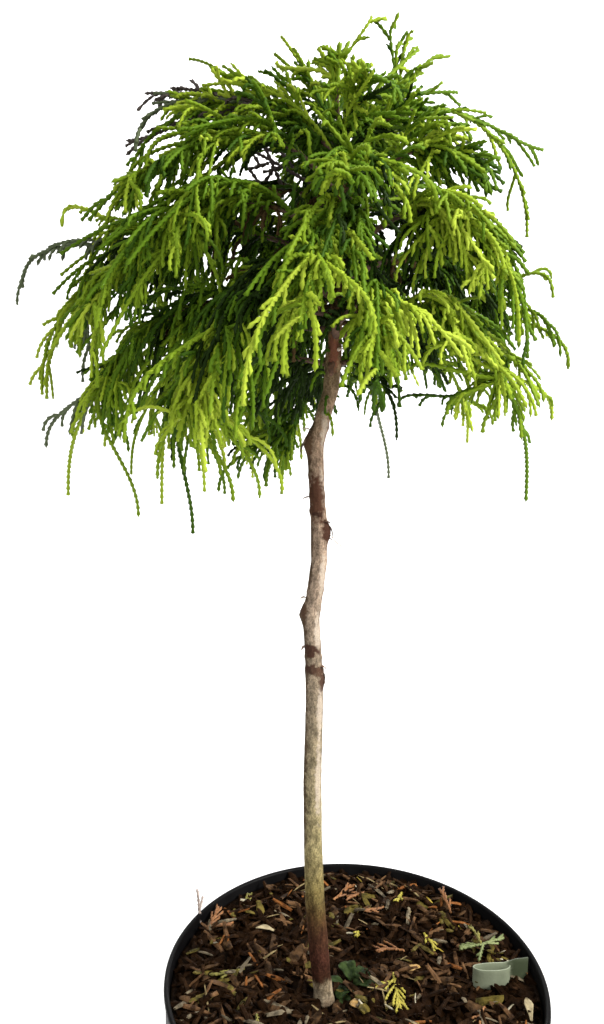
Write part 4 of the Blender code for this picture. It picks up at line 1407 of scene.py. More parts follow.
def followers(entry, mine, dice, face):
    """Long cords that fan out from the foot of a spine, beside, above and below it."""
    spine, count, grown = entry["spine"], FOLLOWERS[entry["tier"]], []
    places = list(range(count))
    dice.shuffle(places)
    for k in range(count):
        turn = math.radians(38.0 * ((k + 0.5) / count - 0.5) + dice.uniform(-3, 3))
        lift = 0.050 * ((places[k] + 0.5) / count - 0.5) + dice.uniform(-0.004, 0.004)
        size, foot = dice.uniform(0.72, 1.04), dice.uniform(0.0, 0.22)
        line = [bezier(spine, foot)]
        for share, point in zip((0.35, 0.9, 1.0), spine[1:]):
            x, y, z = (point - spine[0]) * size
            line.append(spine[0] + np.array([x * math.cos(turn) - y * math.sin(turn),
                                             x * math.sin(turn) + y * math.cos(turn), z + lift * share])
                        + share * np.array([dice.uniform(-0.006, 0.006) for _ in range(3)]))
        kept = SPACE.kept(line, mine, FINE_MARGIN, steps=14, limb_gap=0.0018,
                          reach=dice.uniform(0.99, 1.08))
        if kept * cord_length(line) > 0.016:
            grown.append({"line": line, "kept": kept, "order": 1, "t": 0.5, "face": face})
    return grown


def grow_mass(entry, mine):
    """All cords of a mass: first ones, side cords, their shoots and the shoots' shoots."""
    dice = random.Random(entry["seed"] * 77)
    side = sideways(entry)
    spine_face = unit(np.cross(slope(entry["spine"], 0.5), side))
    entry["kept"] = max(0.5, SPACE.kept(entry["spine"], mine, 0.0, 16, -1.0, SHOWN_REACH))
    spine = {"line": entry["spine"], "kept": entry["kept"], "order": 0, "face": spine_face}
    first = first_cords(entry, mine)
    for cord in first:
        cord["face"] = unit(np.cross(slope(cord["line"], 0.5), side) + spine_face * 0.2)
        cord["line"] = sagged(cord["line"], dice.uniform(0.03, 0.12))
    first += followers(entry, mine, dice, spine_face)
    if entry["limb"]:
        limb = {"line": entry["limb"], "kept": 1.0, "order": 0, "face": spine_face}
        first += grow_along(limb, entry, mine, dice, spacing=(0.0020, 0.0040), share=(0.15, 1.0),
                            lengths=(0.016, 0.036), spreads=(35, 85), turn=2.0, reach=1.0,
                            gap=0.0012, least=0.008, free=2)
    span = entry["span"]
    between = grow_along(spine, entry, mine, dice, spacing=(0.0045, 0.0095), share=(0.02, 0.97),
                         lengths=(0.014, 0.50 * span), spreads=(14, 55), turn=0.5,
                         reach=dice.uniform(0.98, 1.06), gap=0.0022, least=0.009)
    between += grow_along(spine, entry, mine, dice, spacing=(0.0020, 0.0046), share=(0.0, 0.95),
                          lengths=(0.010, 0.044), spreads=(34, 80), turn=1.7,
                          reach=dice.uniform(0.98, 1.04), gap=0.0018, least=0.006)
    short, shorter = [], []
    for parent in first + between:
        share = (0.12, dice.uniform(0.62, 0.95))
        short += grow_along(parent, entry, mine, dice, spacing=(0.0040, 0.0094), share=share,
                            lengths=(0.006, 0.028), spreads=(18, 52), turn=0.7,
                            reach=dice.uniform(0.97, 1.05), gap=0.0016, least=0.0045)
    for parent in short:
        if cord_length(parent["line"]) * parent["kept"] > 0.017:
            shorter += grow_along(parent, entry, mine, dice, spacing=(0.0050, 0.0110),
                                  share=(0.25, 0.80), lengths=(0.004, 0.012), spreads=(18, 40),
                                  turn=0.6, reach=1.03, gap=0.0014, least=0.0035)
    return first, between, short, shorter


def leader_shoots():
    """Shoots straight from the stem inside the crown, each kept by the mass it grows into."""
    dice = random.Random(LEADER_SEED)
    stem_line = [stem_at(z) for z in (0.462, 0.493, 0.524, 0.554)]
    grown = []
    for k in range(LEADER_SHOOTS):
        angle = k * GOLDEN_TURN + dice.uniform(-0.3, 0.3)
        share = (k + 0.5) / LEADER_SHOOTS
        length = dice.uniform(0.022, 0.052)
        cord = shoot(stem_line, share, np.array([math.cos(angle), math.sin(angle), 0.0]),
                     math.radians(dice.uniform(40, 80)), math.pi / 2, length, dice.uniform(0.3, 1.0), dice)
        mine = nearest_mass(bezier(cord, 0.6))
        kept = SPACE.kept(cord, mine, FINE_MARGIN, steps=10, limb_gap=0.0012, reach=1.0, free=4)
        if kept * length > 0.010:
            grown.append((mine, {"line": cord, "kept": kept, "order": 1, "t": 0.5,
                                 "face": unit(np.cross(slope(cord, 0.5), UP + 0.01))}))
    return grown


def nearest_mass(point):
    away = distances(point[None], SPACE.starts, SPACE.ends)[0]
    return int(SPACE.owner[int(np.argmin(away))])


MASSES = [grow_mass(entry, mine) for mine, entry in enumerate(PLAN)]
for mine, cord in leader_shoots():
    dice = random.Random(int(cord["kept"] * 1000) + len(MASSES[mine][0]))
    MASSES[mine][0].append(cord)
    MASSES[mine][2].extend(grow_along(
        cord, PLAN[mine], mine, dice, spacing=(0.0035, 0.0080), share=(0.2, 0.9),
        lengths=(0.006, 0.022), spreads=(20, 60), turn=0.9, reach=1.0, gap=0.0014, least=0.0045))
for order, label in enumerate(("first cords", "side cords", "shoots", "shoots of shoots")):
    print(label, sum(len(mass[order]) for mass in MASSES))

# %% [markdown]
# A few long whips hang below the hem, with a fringe of shorter ones dealt by dice, and others
# arch out of the crown and make its ragged outline. Each is given by where its tip ends, and
# grows from the nearest spine. A whip at the hem is bare at its end. One at the outline, or one
# that fills a thin place, bears shoots to its tip. Four in front bear only very short ones.

# %% Grow the whips
# x, y and z of the tip in millimetres, share of the spine it leaves from, tint if it is named
HEM_WHIPS = (
    (-81, -6, 369, 0.72), (-107, -4, 376, 0.7), (-140, -4, 386, 0.75),
    (75, -6, 386, 0.72, "leaf_green"), (-148, -10, 408, 0.7, "grey_green"), (-93, -20, 384, 0.66),
    (-60, -30, 386, 0.72), (-48, 20, 390, 0.75), (-70, -50, 392, 0.7), (48, -30, 418, 0.7),
    (12, -20, 414, 0.7), (-120, 40, 394, 0.75), (20, 80, 392, 0.72), (-60, 100, 390, 0.75),
    (34, -10, 420, 0.6),
)
OUTER_WHIPS = (
    (-1.7, 2, 603, 0.4), (8.6, 0, 598, 0.35), (16.6, 4, 595, 0.35), (30, 0, 586, 0.3),
    (-42, 0, 593, 0.35), (-83, 0, 583, 0.3), (-92, 4, 572, 0.3, "bronze"),
    (-103, 0, 568, 0.35, "bronze"), (38, 4, 572, 0.3), (77, 0, 546, 0.4, "leaf_green"),
    (-140.6, 0, 516, 0.45), (-149, 2, 499, 0.45, "grey_green"), (-161, 0, 482, 0.45, "grey_green"),
    (72, 0, 508, 0.45, "mid_green"), (82, 2, 489, 0.5, "mid_green"), (94, 0, 449, 0.55),
    (86, -4, 424, 0.6), (-150, -2, 431, 0.6), (70, -20, 440, 0.5), (66, -30, 450, 0.45),
    (20, -40, 446, 0.45), (8, -44, 440, 0.45), (10, -62, 497, 0.35), (20, -60, 505, 0.35),
    (2, -64, 510, 0.3), (28, -52, 498, 0.35), (14, -40, 512, 0.25), (10, -30, 500, 0.25),
    (20, -24, 506, 0.25), (4, -46, 503, 0.3), (-118, -14, 500, 0.4), (-106, -34, 512, 0.35),
    (-94, -46, 520, 0.3), (-110, -4, 526, 0.35), (-122, 4, 508, 0.4), (-100, -50, 498, 0.4),
    (-78, -66, 478, 0.45), (-66, -74, 486, 0.4), (-72, -60, 500, 0.35), (-74, -40, 478, 0.35),
    (-86, -30, 484, 0.35), (-64, -46, 470, 0.35), (8, -36, 480, 0.2), (16, -30, 478, 0.2),
    (0, -30, 484, 0.2), (12, 10, 476, 0.2), (20, 0, 482, 0.25), (4, -20, 488, 0.15), (10, 0, 491, 0.15),
    (-36, 4, 584, 0.35), (-44, -4, 580, 0.35), (-38, 8, 575, 0.35), (-36.5, 0, 588, 0.3),
    (-45, 3, 587, 0.3), (12, 2, 592, 0.35), (22, 4, 580, 0.35), (14, -15, 485, 0.15),
    (17, 12, 490, 0.15), (8, -28, 493, 0.15), (24, -40, 484, 0.25), (9.5, -36, 493, 0.2),
    (8, -22, 496, 0.15), (6, 20, 486, 0.2), (-100, 10, 552, 0.35, "bronze"),
    (-112, 2, 548, 0.35, "bronze"), (-106, -10, 540, 0.35, "grey_green"), (-128, -6, 424, 0.6),
    (-153, 0, 434, 0.62), (86, 4, 463, 0.5), (-126, 0, 512, 0.4), (-131, 4, 505, 0.4),
    (-116, -20, 420, 0.6), (-108, -30, 416, 0.55),
)
# Long young cords that hang in front of the rest
FRONT_WHIPS = (
    (-50, -104, 425, 0.42, "lime_green"), (-93, -92, 412, 0.42, "mid_green"),
    (-21.5, -103, 459.6, 0.5, "mid_green"), (-6.1, -101, 449.8, 0.5, "bright_green"),
)
FRINGE = 64
FRINGE_SHARE = 0.68
WHIP_SEED = 8
# the share of a whip that bears shoots, and how far out of the outline they may reach
HEM_SHOOTS = {"share": (0.10, 0.66), "reach": 1.12}
OUTER_SHOOTS = {"share": (0.15, 0.93), "reach": 1.60}
LONGEST_SHOOT = 0.026
LONGEST_FRONT_SHOOT = 0.011
# Dark bare twigs cross the widest passage: x and z of the points of each in millimetres, at y 0.
# The first one leaves the stem at a height.
BARE_TWIG_ROOT = 0.520
BARE_TWIGS = (
    ((-38.9, 535.2), (-47.7, 541.2), (-58.4, 544.8)), ((-36, 536.5), (-42.2, 543.8), (-47, 549)),
    ((-40.5, 526.5), (-46, 539.2), (-49.7, 546.5)), ((-47.1, 538.5), (-51.5, 536.5), (-57, 535.5)),
    ((-48.5, 523.5), (-52.7, 531.6), (-56, 535.2)), ((-40, 537.5), (-44.6, 535), (-49, 534.5)),
    ((-43, 543), (-48.4, 544.4), (-52, 546.5)), ((-51.5, 536.8), (-52.5, 540), (-54.8, 542.2)),
    ((-45.2, 537.5), (-45.8, 533), (-49, 530.5)),
)


def in_metres(*place):
    """A place given in millimetres."""
    return np.array([round(v * 0.001, 7) for v in place])


def grow_whip(tip, share, tint=None):
    mine = nearest_mass(tip + UP * 0.02)
    spine = PLAN[mine]["spine"]
    share = min(share, PLAN[mine]["kept"])
    root = bezier(spine, share)
    length = float(np.linalg.norm(tip - root))
    rises = tip[2] > root[2] - 0.2 * length
    arrives = UP * length * 0.38
    if rises:
        arrives = UP * length * 0.10 - slope(spine, share) * length * 0.25
    line = [root, root + slope(spine, share) * length * 0.40, tip + arrives, tip]
    face = unit(np.cross(line[3] - line[0], sideways(PLAN[mine])))
    whip = {"line": line, "kept": 1.0, "order": 1, "t": share, "face": face, "mine": mine}
    if tint:
        whip["tint"] = tint
    return whip


def fringe_tips(dice):
    """Tips of the short whips that make the hem ragged."""
    tips = []
    while len(tips) < FRINGE:
        x = dice.uniform(-0.148, -0.034) if dice.random() < 0.72 else dice.uniform(-0.02, 0.086)
        hem = float(np.interp(x, [row[0] for row in HEM], [row[1] for row in HEM]))
        tip = np.array([x, dice.uniform(-0.055, 0.060), hem - 0.030 * dice.random() ** 1.2])
        if outline_share(tip[None])[0] < 0.98:
            tips.append(tip)
    return tips


def clothe_whip(cord, dice, share, reach, longest=LONGEST_SHOOT):
    """Adds a whip to its mass, with shoots along a share of it."""
    mine = cord["mine"]
    MASSES[mine][0].append(cord)
    MASSES[mine][2].extend(grow_along(
        cord, PLAN[mine], mine, dice, spacing=(0.0034, 0.0080), share=share,
        lengths=(0.006, longest), spreads=(18, 50), turn=0.8, reach=reach, gap=0.0014,
        least=0.0040, margin=-0.012))


whip_dice = random.Random(WHIP_SEED)
HEM_CORDS, OUTER_CORDS, FRONT_CORDS = (
    [grow_whip(in_metres(x, y, z), *rest) for x, y, z, *rest in table]
    for table in (HEM_WHIPS, OUTER_WHIPS, FRONT_WHIPS))
HEM_CORDS += [grow_whip(tip, FRINGE_SHARE) for tip in fringe_tips(whip_dice)]
for cord in HEM_CORDS:
    clothe_whip(cord, whip_dice, **HEM_SHOOTS)
for cord in OUTER_CORDS:
    clothe_whip(cord, whip_dice, **OUTER_SHOOTS)
for cord in FRONT_CORDS:
    clothe_whip(cord, whip_dice, **OUTER_SHOOTS, longest=LONGEST_FRONT_SHOOT)
print("whips:", [round(cord_length(w["line"]) * 1000) for w in HEM_CORDS + OUTER_CORDS + FRONT_CORDS])

# %% [markdown]
# ## Dealing the colours
# The sprays aren't one green. The young ones outside are yellow-green, those under them mid
# green, and the inner ones are deep green, with old twigs brown; inside the crown the tints go on
# to almost black as painted shade. Some long tips are grey or bronze from the cold. Each spray is
# dealt one plain colour by how far out it hangs, by places of painted light and shade and by dice,
# and its short cords keep that colour or the next one to it.

# %% Leaf colours
# name, base colour, roughness, from the innermost to the outermost
LEAF_TINTS = (
    ("shade_green", (0.01, 0.024, 0.001), 0.65),
    ("deep_green", (0.034, 0.08, 0.003), 0.62),
    ("leaf_green", (0.085, 0.162, 0.006), 0.6),
    ("mid_green", (0.156, 0.244, 0.011), 0.58),
    ("bright_green", (0.252, 0.35, 0.021), 0.56),
    ("lime_green", (0.356, 0.458, 0.038), 0.56),
)
# bronze and grey for tips, old brown for the heart of the crown
WEATHERED_TINTS = (
    ("grey_green", (0.105, 0.13, 0.07), 0.58),
    ("bronze", (0.08, 0.064, 0.056), 0.58),
    ("old_brown", (0.06, 0.036, 0.012), 0.65),
)
LEAVES_IN_ORDER = [row[0] for row in LEAF_TINTS]
WEATHERED = [row[0] for row in WEATHERED_TINTS]
BRIGHTEST = len(LEAF_TINTS) - 1
COLOUR_SEED = 31
# a cord past this depth may be weathered, and one in the heart above a height may be old brown
WEATHERED_FROM, WEATHERED_CHANCE, BRONZE_CHANCE = 0.93, 0.06, 0.3
HEART, HEART_HEIGHT, BROWN_CHANCE = 0.50, 0.465, 0.30
# a shoot may be one tint lighter or darker than its cord
LIGHTER_CHANCE, DARKER_CHANCE = 0.30, 0.25
CROWN_MIDDLE = np.array([-0.030, 0.004, 0.468])
CROWN_HALF = np.array([0.116, 0.102, 0.128])
SPINE_CORD_RADIUS = 0.00104
LIMB_RADII = (0.0016, 0.00125)
TWIG_RADII = (0.00125, 0.00085)
WOODY_SHARE = 0.42
CORD_RADII = (0.00102, 0.00088, 0.00078, 0.00070)


def depth_share(point):
    """0 at the middle of the crown, about 1 on its outline."""
    return float(np.linalg.norm((point - CROWN_MIDDLE) / CROWN_HALF))


# Painted light and shade: near these places sprays are dealt lighter tints where light falls on the crown
# and darker ones where shade falls.
# x, y and z of the middle, radius, how much lighter (below 0, darker)
LIGHT_AND_SHADE_PLACES = (
    (-0.095, -0.06, 0.5, 0.03, 0.5), (-0.052, -0.085, 0.475, 0.02, 0.2),
    (-0.01, -0.09, 0.478, 0.02, 0.3), (0.06, -0.03, 0.458, 0.036, 0.5),
    (-0.065, -0.03, 0.56, 0.028, 1.0), (-0.096, -0.03, 0.54, 0.025, 0.4),
    (-0.085, -0.06, 0.455, 0.022, -0.2), (0.0, -0.04, 0.565, 0.026, 0.2),
    (0.031, -0.05, 0.498, 0.028, 1.4), (0.031, -0.055, 0.463, 0.028, 2.5),
    (-0.009, -0.06, 0.5, 0.02, -2.4), (-0.057, -0.057, 0.422, 0.032, 3.6),
    (0.031, -0.03, 0.535, 0.028, 0.4), (-0.059, -0.072, 0.463, 0.024, -4.0),
    (0.074, -0.01, 0.502, 0.036, -3.6), (0.073, 0.0, 0.545, 0.035, -3.0),
    (0.023, -0.01, 0.585, 0.022, -1.5), (0.088, 0.0, 0.46, 0.026, -0.7),
    (-0.051, -0.06, 0.495, 0.026, 2.0), (-0.09, -0.01, 0.402, 0.03, 0.8),
    (-0.05, -0.01, 0.396, 0.03, 1.1), (0.018, -0.05, 0.498, 0.022, 1.3),
    (0.018, -0.055, 0.465, 0.022, 0.9),
)


def deal_tint(point, dice, vigour):
    """The place of a spray in the list of tints: darker deeper in, partly as painted shade, and moved by
    painted light and shade at given places.
    """
    # deeper in is darker: the real older inner growth, with painted shade on top of it
    value = depth_share(point) * 5.0 - 1.5 + vigour + 1.5 * noise.noise(Vector(point) * 30.0)
    # painted light and shade at the given places
    for x, y, z, radius, lighter in LIGHT_AND_SHADE_PLACES:
        away = float(np.linalg.norm(point - np.array([x, y, z])))
        value += lighter * math.exp(-(away / radius) ** 2)
    value += dice.gauss(0.0, 0.75)
    return int(min(BRIGHTEST, max(0, round(value))))


class Basket:
    """Collects the cords of each finish until they are joined."""

    def __init__(self):
        self.corners, self.faces, self.count = [], [], 0

    def add(self, mesh):
        corners, faces = mesh
        self.corners.append(corners)
        self.faces.append(faces + self.count)
        self.count += len(corners)


BASKETS = {name: Basket() for name, _, _ in LEAF_TINTS + WEATHERED_TINTS}
TWIGS = Basket()
LIMBS = Basket()


def braid(cord, dice):
    radius = CORD_RADII[min(3, cord["order"])] * dice.uniform(0.90, 1.12)
    step = SCALE_STEP if cord["order"] < 2 else FINE_SCALE_STEP
    BASKETS[cord["tint"]].add(braided_cord(cord["line"], cord["kept"], radius, cord["face"], step))


# Small sprouts on the stem under the crown: height, bearing, length, tint
STEM_SPROUTS = (
    (0.457, -55, 0.01, "leaf_green"), (0.453, -125, 0.011, "deep_green"),
    (0.449, -20, 0.015, "leaf_green"), (0.443, -155, 0.012, "leaf_green"),
    (0.437, -10, 0.015, "deep_green"), (0.432, -100, 0.01, "deep_green"),
    (0.424, -70, 0.014, "mid_green"),
)


def sprout(height, angle, length, tint):
    """A short cord that leaves the stem, arches and hangs close to it."""
    out = bearing(math.radians(angle), 0.0)
    root = stem_at(height) + out * stem_radius(height) * 0.8
    away = out * length * 0.55
    line = [root, root + away * 0.6 + UP * length * 0.20, root + away * 1.1 - UP * length * 0.15,
            root + away * 1.2 - UP * length * 0.65]
    face = unit(np.cross(UP, out) + out * 0.4)
    BASKETS[tint].add(braided_cord(line, 1.0, CORD_RADII[3], face, FINE_SCALE_STEP))


def fill_baskets():
    dice = random.Random(COLOUR_SEED)
    for row in STEM_SPROUTS:
        sprout(*row)
    for k, spots in enumerate(BARE_TWIGS):
        line = [stem_at(BARE_TWIG_ROOT)] * (k == 0) + [in_metres(x, 0.0, z) for x, z in spots]
        face = np.array([0.2, -1.0, 0.1])
        BASKETS["bronze"].add(braided_cord(line, 1.0, CORD_RADII[2], face, FINE_SCALE_STEP))
    for entry, (first, between, short, shorter) in zip(PLAN, MASSES):
        vigour = dice.uniform(-0.3, 0.3)
        spine = entry["spine"]
        if entry["limb"]:
            LIMBS.add(smooth_twig(entry["limb"], 1.0, LIMB_RADII, sides=10, rings=16))
        TWIGS.add(smooth_twig(spine, WOODY_SHARE, TWIG_RADII, sides=7, rings=14))
        tint = LEAF_TINTS[deal_tint(bezier(spine, 0.8), dice, vigour)][0]
        face = unit(np.cross(slope(spine, 0.5), sideways(entry)))
        BASKETS[tint].add(braided_cord(spine, entry["kept"], SPINE_CORD_RADIUS, face))
        for cord in first + between:
            spot = bezier(cord["line"], cord["kept"] * 0.7)
            cord["place"] = deal_tint(spot, dice, vigour)
            named = cord.get("tint")
            cord["tint"] = named or LEAVES_IN_ORDER[cord["place"]]
            if cord["tint"] not in WEATHERED:
                cord["place"] = LEAVES_IN_ORDER.index(cord["tint"])
            deep = depth_share(spot)
            if cord["t"] > 0.5 and deep > WEATHERED_FROM and dice.random() < WEATHERED_CHANCE:
                cord["tint"] = WEATHERED[dice.random() < BRONZE_CHANCE]
            if deep < HEART and spot[2] > HEART_HEIGHT and dice.random() < BROWN_CHANCE:
                cord["tint"] = "old_brown"
            cord["tint"] = named or cord["tint"]
            braid(cord, dice)
        for cord in short + shorter:
            parent = cord["parent"]
            cord["place"], cord["tint"] = parent["place"], parent["tint"]
            if cord["tint"] not in WEATHERED:
                cord["place"] += (dice.random() < LIGHTER_CHANCE) - (dice.random() < DARKER_CHANCE)
                cord["place"] = min(BRIGHTEST, max(0, cord["place"]))
                cord["tint"] = LEAVES_IN_ORDER[cord["place"]]
            braid(cord, dice)


fill_baskets()
for name, basket in BASKETS.items():
    print(name, sum(len(f) for f in basket.faces), "triangles")

# %% [markdown]
# Each basket becomes one piece with one plain colour. A piece stays under 200,000 triangles,
# so a full basket is split in two.

# %% Join the foliage
PIECE_LIMIT = 190000


def join_basket(basket, name, finish):
    """Joins a basket into one piece, or more if it is over the limit."""
    pieces, corners, faces, count = [], [], [], 0
    offset = 0
    for block, triangles in zip(basket.corners, basket.faces):
        if count + len(triangles) > PIECE_LIMIT:
            pieces.append(mesh_object(f"{name}_{len(pieces) + 1}", np.concatenate(corners),
                                      np.concatenate(faces), finish))
            corners, faces, count = [], [], 0
            offset = int(triangles.min())
        corners.append(block)
        faces.append(triangles - offset)
        count += len(triangles)
    pieces.append(mesh_object(f"{name}_{len(pieces) + 1}" if pieces else name,
                              np.concatenate(corners), np.concatenate(faces), finish))
    return pieces


foliage_nodes = ["foliage_" + entry["name"] for entry in PLAN]
bough_nodes = ["bough_" + entry["name"] for entry in PLAN if entry["limb"]]
first = True
for tint_name, colour, rough in LEAF_TINTS + WEATHERED_TINTS:
    leaf_finish, *_ = new_finish("Scale leaves " + tint_name, colour, rough, Specular_IOR_Level=0.10)
    for piece in join_basket(BASKETS[tint_name], tint_name, leaf_finish):
        dress(piece, foliage_nodes if first else [])
        first = False

twig_finish, *_ = blotched_finish(
    "Brown twig", (0.045, 0.022, 0.013), (0.130, 0.070, 0.040), 320.0, 0.3, 0.75, 1500.0, 0.0002)
for piece in join_basket(TWIGS, "inner_twigs", twig_finish):
    dress(piece, [])
for piece in join_basket(LIMBS, "boughs", twig_finish):
    dress(piece, bough_nodes)

# %% [markdown]
# ## What has dropped on the mulch
# Sprigs shed by the plant lie on the bark: some dried to orange, some yellow, and one still
# pale green. They are the same braided cords, thinner, with a few side cords each. A small
# weed with broad dark leaves grows at the stem's foot. Every one rests on the mulch.

# %% Drop the sprigs
# x, y, heading in degrees, rise in degrees, length, side cords, bend in plan, tint, and its
# height over the mulch where it is held up
DROPPED = (
    (-0.0785, 0.035, 60, 16, 0.015, 6, 0.2, "dried_orange"),
    (-0.078, 0.036, 15, 12, 0.012, 4, -0.3, "dried_orange"),
    (0.0585, 0.05, 95, 30, 0.015, 5, 0.2, "dried_orange"),
    (0.029, 0.024, 160, 12, 0.017, 5, 0.6, "dried_orange"),
    (0.012, 0.07, 200, 8, 0.015, 4, 0.3, "dried_orange"),
    (-0.008, 0.064, 30, 10, 0.016, 5, 0.3, "dried_orange"),
    (0.005, 0.056, 340, 8, 0.014, 4, 0.3, "dried_orange"),
    (0.062, -0.018, 250, 8, 0.013, 4, -0.2, "dried_orange"),
    (0.0205, 0.005, 268, 4, 0.027, 9, 0.05, "fresh_yellow"),
    (0.018, -0.001, 200, 4, 0.011, 4, 0.3, "fresh_yellow"),
    (0.041, 0.039, 276, 8, 0.018, 3, 0.15, "fresh_yellow"),
    (0.033, 0.07, 262, 10, 0.012, 3, -0.2, "fresh_yellow"),
    (0.005, 0.039, 250, 20, 0.008, 3, 0.2, "fresh_yellow"),
    (-0.056, 0.006, 235, 8, 0.018, 3, -0.5, "old_olive"),
    (-0.048, -0.024, 275, 8, 0.016, 4, 0.2, "old_olive"),
    (-0.06, 0.056, 60, 10, 0.009, 5, 0.3, "old_olive"),
    (0.069, 0.02, 193, 5, 0.0125, 6, 0.1, "fresh_green", 0.0062),
    (0.069, 0.02, 24, 12, 0.0125, 4, -0.2, "fresh_green", 0.0062),
    (0.0698, 0.0195, 240, -14, 0.0105, 1, 0.1, "fresh_green", 0.0062),
    (0.0694, 0.0205, 98, 12, 0.013, 2, 0.1, "old_olive", 0.0056),
    (-0.0835, 0.04, 100, 74, 0.017, 2, 0.1, "pale_twig"),
)
DROPPED_TINTS = {
    "dried_orange": ((0.120, 0.043, 0.009), (0.320, 0.135, 0.038)),
    "fresh_yellow": ((0.210, 0.180, 0.012), (0.440, 0.375, 0.045)),
    "old_olive": ((0.090, 0.085, 0.010), (0.260, 0.230, 0.040)),
    "fresh_green": ((0.085, 0.110, 0.028), (0.220, 0.255, 0.090)),
    "pale_twig": ((0.240, 0.180, 0.150), (0.480, 0.400, 0.350)),
}
LYING_RADIUS = 0.00062
LYING_STEP = 0.0011
SPRIG_SEED = 64
DROPPED_BASKETS = {name: Basket() for name in DROPPED_TINTS}
sprig_dice = random.Random(SPRIG_SEED)


def lying_cord(start, heading, rise, length, bend, radius, basket):
    """A thin cord that leaves a point at a heading and a rise, and bends in plan."""
    middle = start + bearing(heading + bend * 0.5, rise) * length * 0.5
    end = middle + bearing(heading + bend * 1.5, rise * 0.6) * length * 0.5
    line = [start, middle, end]
    basket.add(braided_cord(line, 1.0, radius, UP + 0.02, LYING_STEP))
    return line


def drop_sprig(x, y, heading, rise, length, twigs, bend, tint, above=0.0018):
    start = np.array([x, y, mulch_height(x, y) + above])
    heading, rise = math.radians(heading), math.radians(rise)
    basket = DROPPED_BASKETS[tint]
    line = lying_cord(start, heading, rise, length, bend, LYING_RADIUS * 1.15, basket)
    for k in range(twigs):
        share = 0.15 + 0.75 * (k + 0.5) / twigs
        hand = 1 if k % 2 else -1
        lying_cord(bezier(line, share), heading + bend * share + hand * sprig_dice.uniform(0.5, 0.9),
                   rise * sprig_dice.uniform(0.5, 1.3),
                   length * sprig_dice.uniform(0.30, 0.48) * (1.2 - 0.6 * share),
                   -hand * 0.3, LYING_RADIUS, basket)


for row in DROPPED:
    drop_sprig(*row)
for tint, (dark, light) in DROPPED_TINTS.items():
    finish, *_ = blotched_finish("Sprig " + tint, dark, light, 300.0, 0.4, 0.6, 1500.0, 0.0002)
    for piece in join_basket(DROPPED_BASKETS[tint], tint, finish):
        dress(piece, [])

# %% [markdown]
# A broad leaf is a small grid: wide in its middle, folded a little along its rib and curled
# down at its tip. The back is a second skin just under the first, so the leaf has a thickness
# and both its faces point outwards.

# %% Grow the weed and drop the leaves
# x, y, height over the mulch, heading, rise, length, width, which finish
LEAVES = (
    (0.0, 0.001, 0.002, 20, 35, 0.012, 0.008, 0), (-0.001, 0.003, 0.003, 100, 50, 0.011, 0.008, 0),
    (-0.003, 0.0, 0.002, 230, 20, 0.01, 0.007, 0), (0.001, -0.001, 0.0015, 300, 18, 0.012, 0.0085, 0),
    (-0.002, 0.004, 0.004, 150, 60, 0.009, 0.006, 0), (0.002, 0.003, 0.003, 60, 30, 0.009, 0.0065, 0),
    (-0.004, -0.003, 0.0015, 260, 10, 0.01, 0.007, 0), (0.003, -0.001, 0.0035, 330, 25, 0.01, 0.007, 0),
    (-0.005, 0.001, 0.0045, 200, 45, 0.009, 0.006, 0),
    (-0.003, -0.015, 0.005, 340, 8, 0.0095, 0.006, 1), (-0.052, 0.035, 0.004, 5, 8, 0.013, 0.0035, 2),
    (0.081, -0.03, 0.004, 84, 25, 0.016, 0.0036, 2), (0.035, 0.01, 0.003, 200, 15, 0.008, 0.004, 1),
)
LEAF_ROWS = 7
LEAF_THICKNESS = 0.00025


def broad_leaf(start, heading, rise, length, width, curl=1.0):
    """Corners and faces of one leaf, with its back skin."""
    heading, rise = math.radians(heading), math.radians(rise)
    across = np.array([-math.sin(heading), math.cos(heading), 0.0])
    skins = []
    for under in (0.0, LEAF_THICKNESS):
        for i in range(LEAF_ROWS):
            share = i / (LEAF_ROWS - 1)
            tip_down = bearing(heading, rise - curl * share)
            spot = start + bearing(heading, rise) * length * share * 0.6 + tip_down * length * share * 0.4
            half = width / 2 * math.sin(math.pi * (0.06 + 0.90 * share)) ** 0.7
            half *= 1.0 + 0.22 * math.sin(9.0 * share + 40.0 * start[0])
            for j in (-1.0, -0.5, 0.0, 0.5, 1.0):
                skins.append(spot + across * half * j + UP * (abs(j) * half * 0.35 - under))
    count = LEAF_ROWS * 5
    front = grid_faces(LEAF_ROWS, 5, closed=False)
    faces = [tuple(f)[::-1] for f in front] + [tuple(f + count) for f in front]
    rim = [i * 5 for i in range(LEAF_ROWS)] + [count - 5 + j for j in range(1, 5)]
    rim += [i * 5 + 4 for i in range(LEAF_ROWS - 2, -1, -1)] + [3, 2, 1]
    faces += [(a, b, b + count, a + count) for a, b in zip(rim, rim[1:] + rim[:1])]
    return skins, faces


def leaf_piece(name, leaves, finish):
    corners, faces = [], []
    for leaf in leaves:
        skins, leaf_faces = broad_leaf(*leaf)
        faces += [tuple(int(corner) + len(corners) for corner in f) for f in leaf_faces]
        corners += skins
    piece = mesh_object(name, corners, faces, finish)
    face_outwards(piece.data)
    return piece


def fallen(kind):
    """The leaves of one kind, each with its start on the mulch."""
    return [(np.array([x, y, mulch_height(x, y) + above]), *rest)
            for x, y, above, *rest, which in LEAVES if which == kind]


